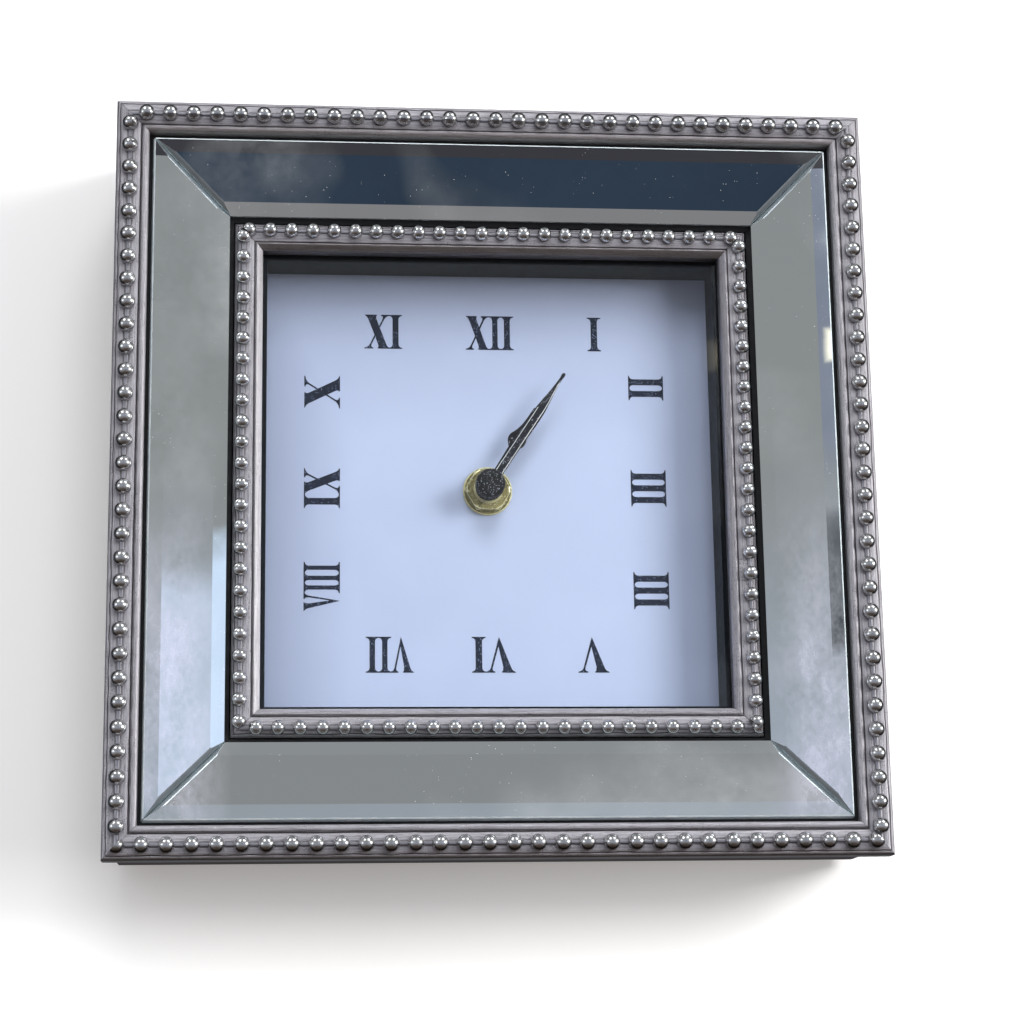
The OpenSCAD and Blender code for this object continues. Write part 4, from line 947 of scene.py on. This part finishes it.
def makeCard(name, settings):
    mat, tree, shader = newTree(name)
    tree.nodes.remove(shader)
    glow = addNode(tree, "ShaderNodeEmission", Strength=settings.get("glow", 1.0))
    cloud = useGroup(tree, mottle, objectCoords(tree), Scale=4.0, Grain=0.3)
    color = settings["color"]
    soft = mixColor(tree, cloud.outputs[0], tuple(c * 0.8 for c in color), color)
    link(tree, soft, glow.inputs["Color"])
    uv = addNode(tree, "ShaderNodeSeparateXYZ")
    link(tree, tree.nodes["Texture Coordinate"].outputs["UV"], uv.inputs[0])
    away = [mathNode(tree, "ABSOLUTE", mathNode(tree, "SUBTRACT", axis, 0.5)) for axis in uv.outputs[:2]]
    margins = [mathNode(tree, "SUBTRACT", 0.5, distance) for distance in away]
    inward = mathNode(tree, "MINIMUM", *margins)
    ragged = mathNode(tree, "MULTIPLY", mathNode(tree, "SUBTRACT", cloud.outputs[0], 0.5), 0.12)
    solid = spread(tree, mathNode(tree, "ADD", inward, ragged), 0.01, settings.get("soft", 0.12))
    clear = tree.nodes.new("ShaderNodeBsdfTransparent")
    mix = tree.nodes.new("ShaderNodeMixShader")
    link(tree, solid, mix.inputs[0])
    link(tree, clear.outputs[0], mix.inputs[1])
    link(tree, glow.outputs[0], mix.inputs[2])
    link(tree, mix.outputs[0], tree.nodes["Material Output"].inputs["Surface"])
    spot = settings["spot"]
    aim = (0, 1, 0) if settings.get("upright") else (-spot[0], -spot[1], midHeight - spot[2])
    place = Matrix.Translation(spot) @ facing(aim)
    card = makePlane(name, mat, place, *settings["size"])
    card.visible_camera = False
    card.visible_diffuse = False
    card.visible_transmission = False
    card.visible_shadow = False


for name, settings in cards.items():
    makeCard(name, settings)


# lights

lights = {
    "key": {"spot": (0.72, -0.7, 0.34), "size": 0.4, "power": 7.8, "color": (1.0, 0.99, 0.97)},
    "ceiling": {"spot": (0.05, -0.9, 0.95), "size": 0.5, "power": 7.2, "color": (0.97, 0.98, 1.0)}}
for name, settings in lights.items():
    data = bpy.data.lights.new(name, "AREA")
    data.energy = settings["power"]
    data.size = settings["size"]
    data.color = settings["color"]
    lamp = bpy.data.objects.new(name, data)
    spot = Vector(settings["spot"])
    lamp.location = spot
    lamp.visible_glossy = False
    lamp.rotation_euler = (Vector((0, 0, midHeight)) - spot).to_track_quat("-Z", "Y").to_euler()
    bpy.context.scene.collection.objects.link(lamp)


# the room's light: brown from the floor, white from above, and what polished metal sees at each height
room = {"low": (0.15, 0.105, 0.075), "high": (0.99, 1.0, 1.04), "left": 0.54, "right": 0.8, "seen": [
    (0.0, (0.05, 0.036, 0.028)), (0.2, (0.115, 0.095, 0.085)), (0.26, (0.26, 0.25, 0.26)),
    (0.36, (0.28, 0.27, 0.28)), (0.45, (0.4, 0.44, 0.52)), (0.55, (0.42, 0.47, 0.56)),
    (0.62, (0.32, 0.33, 0.335)), (0.8, (0.29, 0.295, 0.305)), (1.0, (0.34, 0.35, 0.365))]}


def makeWorld():
    world = bpy.data.worlds.new("room")
    bpy.context.scene.world = world
    world.use_nodes = True
    tree = world.node_tree
    plain = tree.nodes["Background"]
    coords = tree.nodes.new("ShaderNodeTexCoord")
    direction = addNode(tree, "ShaderNodeSeparateXYZ")
    link(tree, coords.outputs["Generated"], direction.inputs[0])
    overFloor = spread(tree, direction.outputs[2], -0.5, 0.2)
    link(tree, mixColor(tree, overFloor, room["low"], room["high"]), plain.inputs["Color"])
    strength = spread(tree, direction.outputs[0], -0.9, 0.9, room["left"], room["right"])
    link(tree, strength, plain.inputs["Strength"])
    noise = addNode(tree, "ShaderNodeTexNoise", Scale=7.0, Detail=4.0)
    link(tree, coords.outputs["Generated"], noise.inputs["Vector"])
    wobble = mathNode(tree, "MULTIPLY", mathNode(tree, "SUBTRACT", noise.outputs[0], 0.5), 0.1)
    height = mathNode(tree, "ADD", direction.outputs[2], wobble)
    ramp = tree.nodes.new("ShaderNodeValToRGB")
    stops = ramp.color_ramp.elements
    stops.remove(stops[0])
    stops[0].position = 0.0
    stops[0].color = (*room["seen"][0][1], 1)
    for position, color in room["seen"][1:]:
        stops.new(position).color = (*color, 1)
    link(tree, spread(tree, height, -1, 1), ramp.inputs[0])
    seen = addNode(tree, "ShaderNodeBackground", Strength=1.0)
    behind = mathNode(tree, "ADD", spread(tree, direction.outputs[1], -0.25, 0.1, 1.0, 0.06),
                      spread(tree, direction.outputs[1], 0.55, 0.85, 0.0, 0.7))
    link(tree, mixColor(tree, 1.0, ramp.outputs[0], behind, "MULTIPLY"), seen.inputs["Color"])
    white = addNode(tree, "ShaderNodeBackground", Strength=1.0)
    white.inputs["Color"].default_value = (1, 1, 1, 1)
    path = tree.nodes.new("ShaderNodeLightPath")
    first = tree.nodes.new("ShaderNodeMixShader")
    link(tree, path.outputs["Is Glossy Ray"], first.inputs[0])
    link(tree, plain.outputs[0], first.inputs[1])
    link(tree, seen.outputs[0], first.inputs[2])
    last = tree.nodes.new("ShaderNodeMixShader")
    link(tree, path.outputs["Is Camera Ray"], last.inputs[0])
    link(tree, first.outputs[0], last.inputs[1])
    link(tree, white.outputs[0], last.inputs[2])
    link(tree, last.outputs[0], tree.nodes["World Output"].inputs["Surface"])


makeWorld()
bpy.context.scene.view_settings.view_transform = "Standard"
print("stage and lights set")
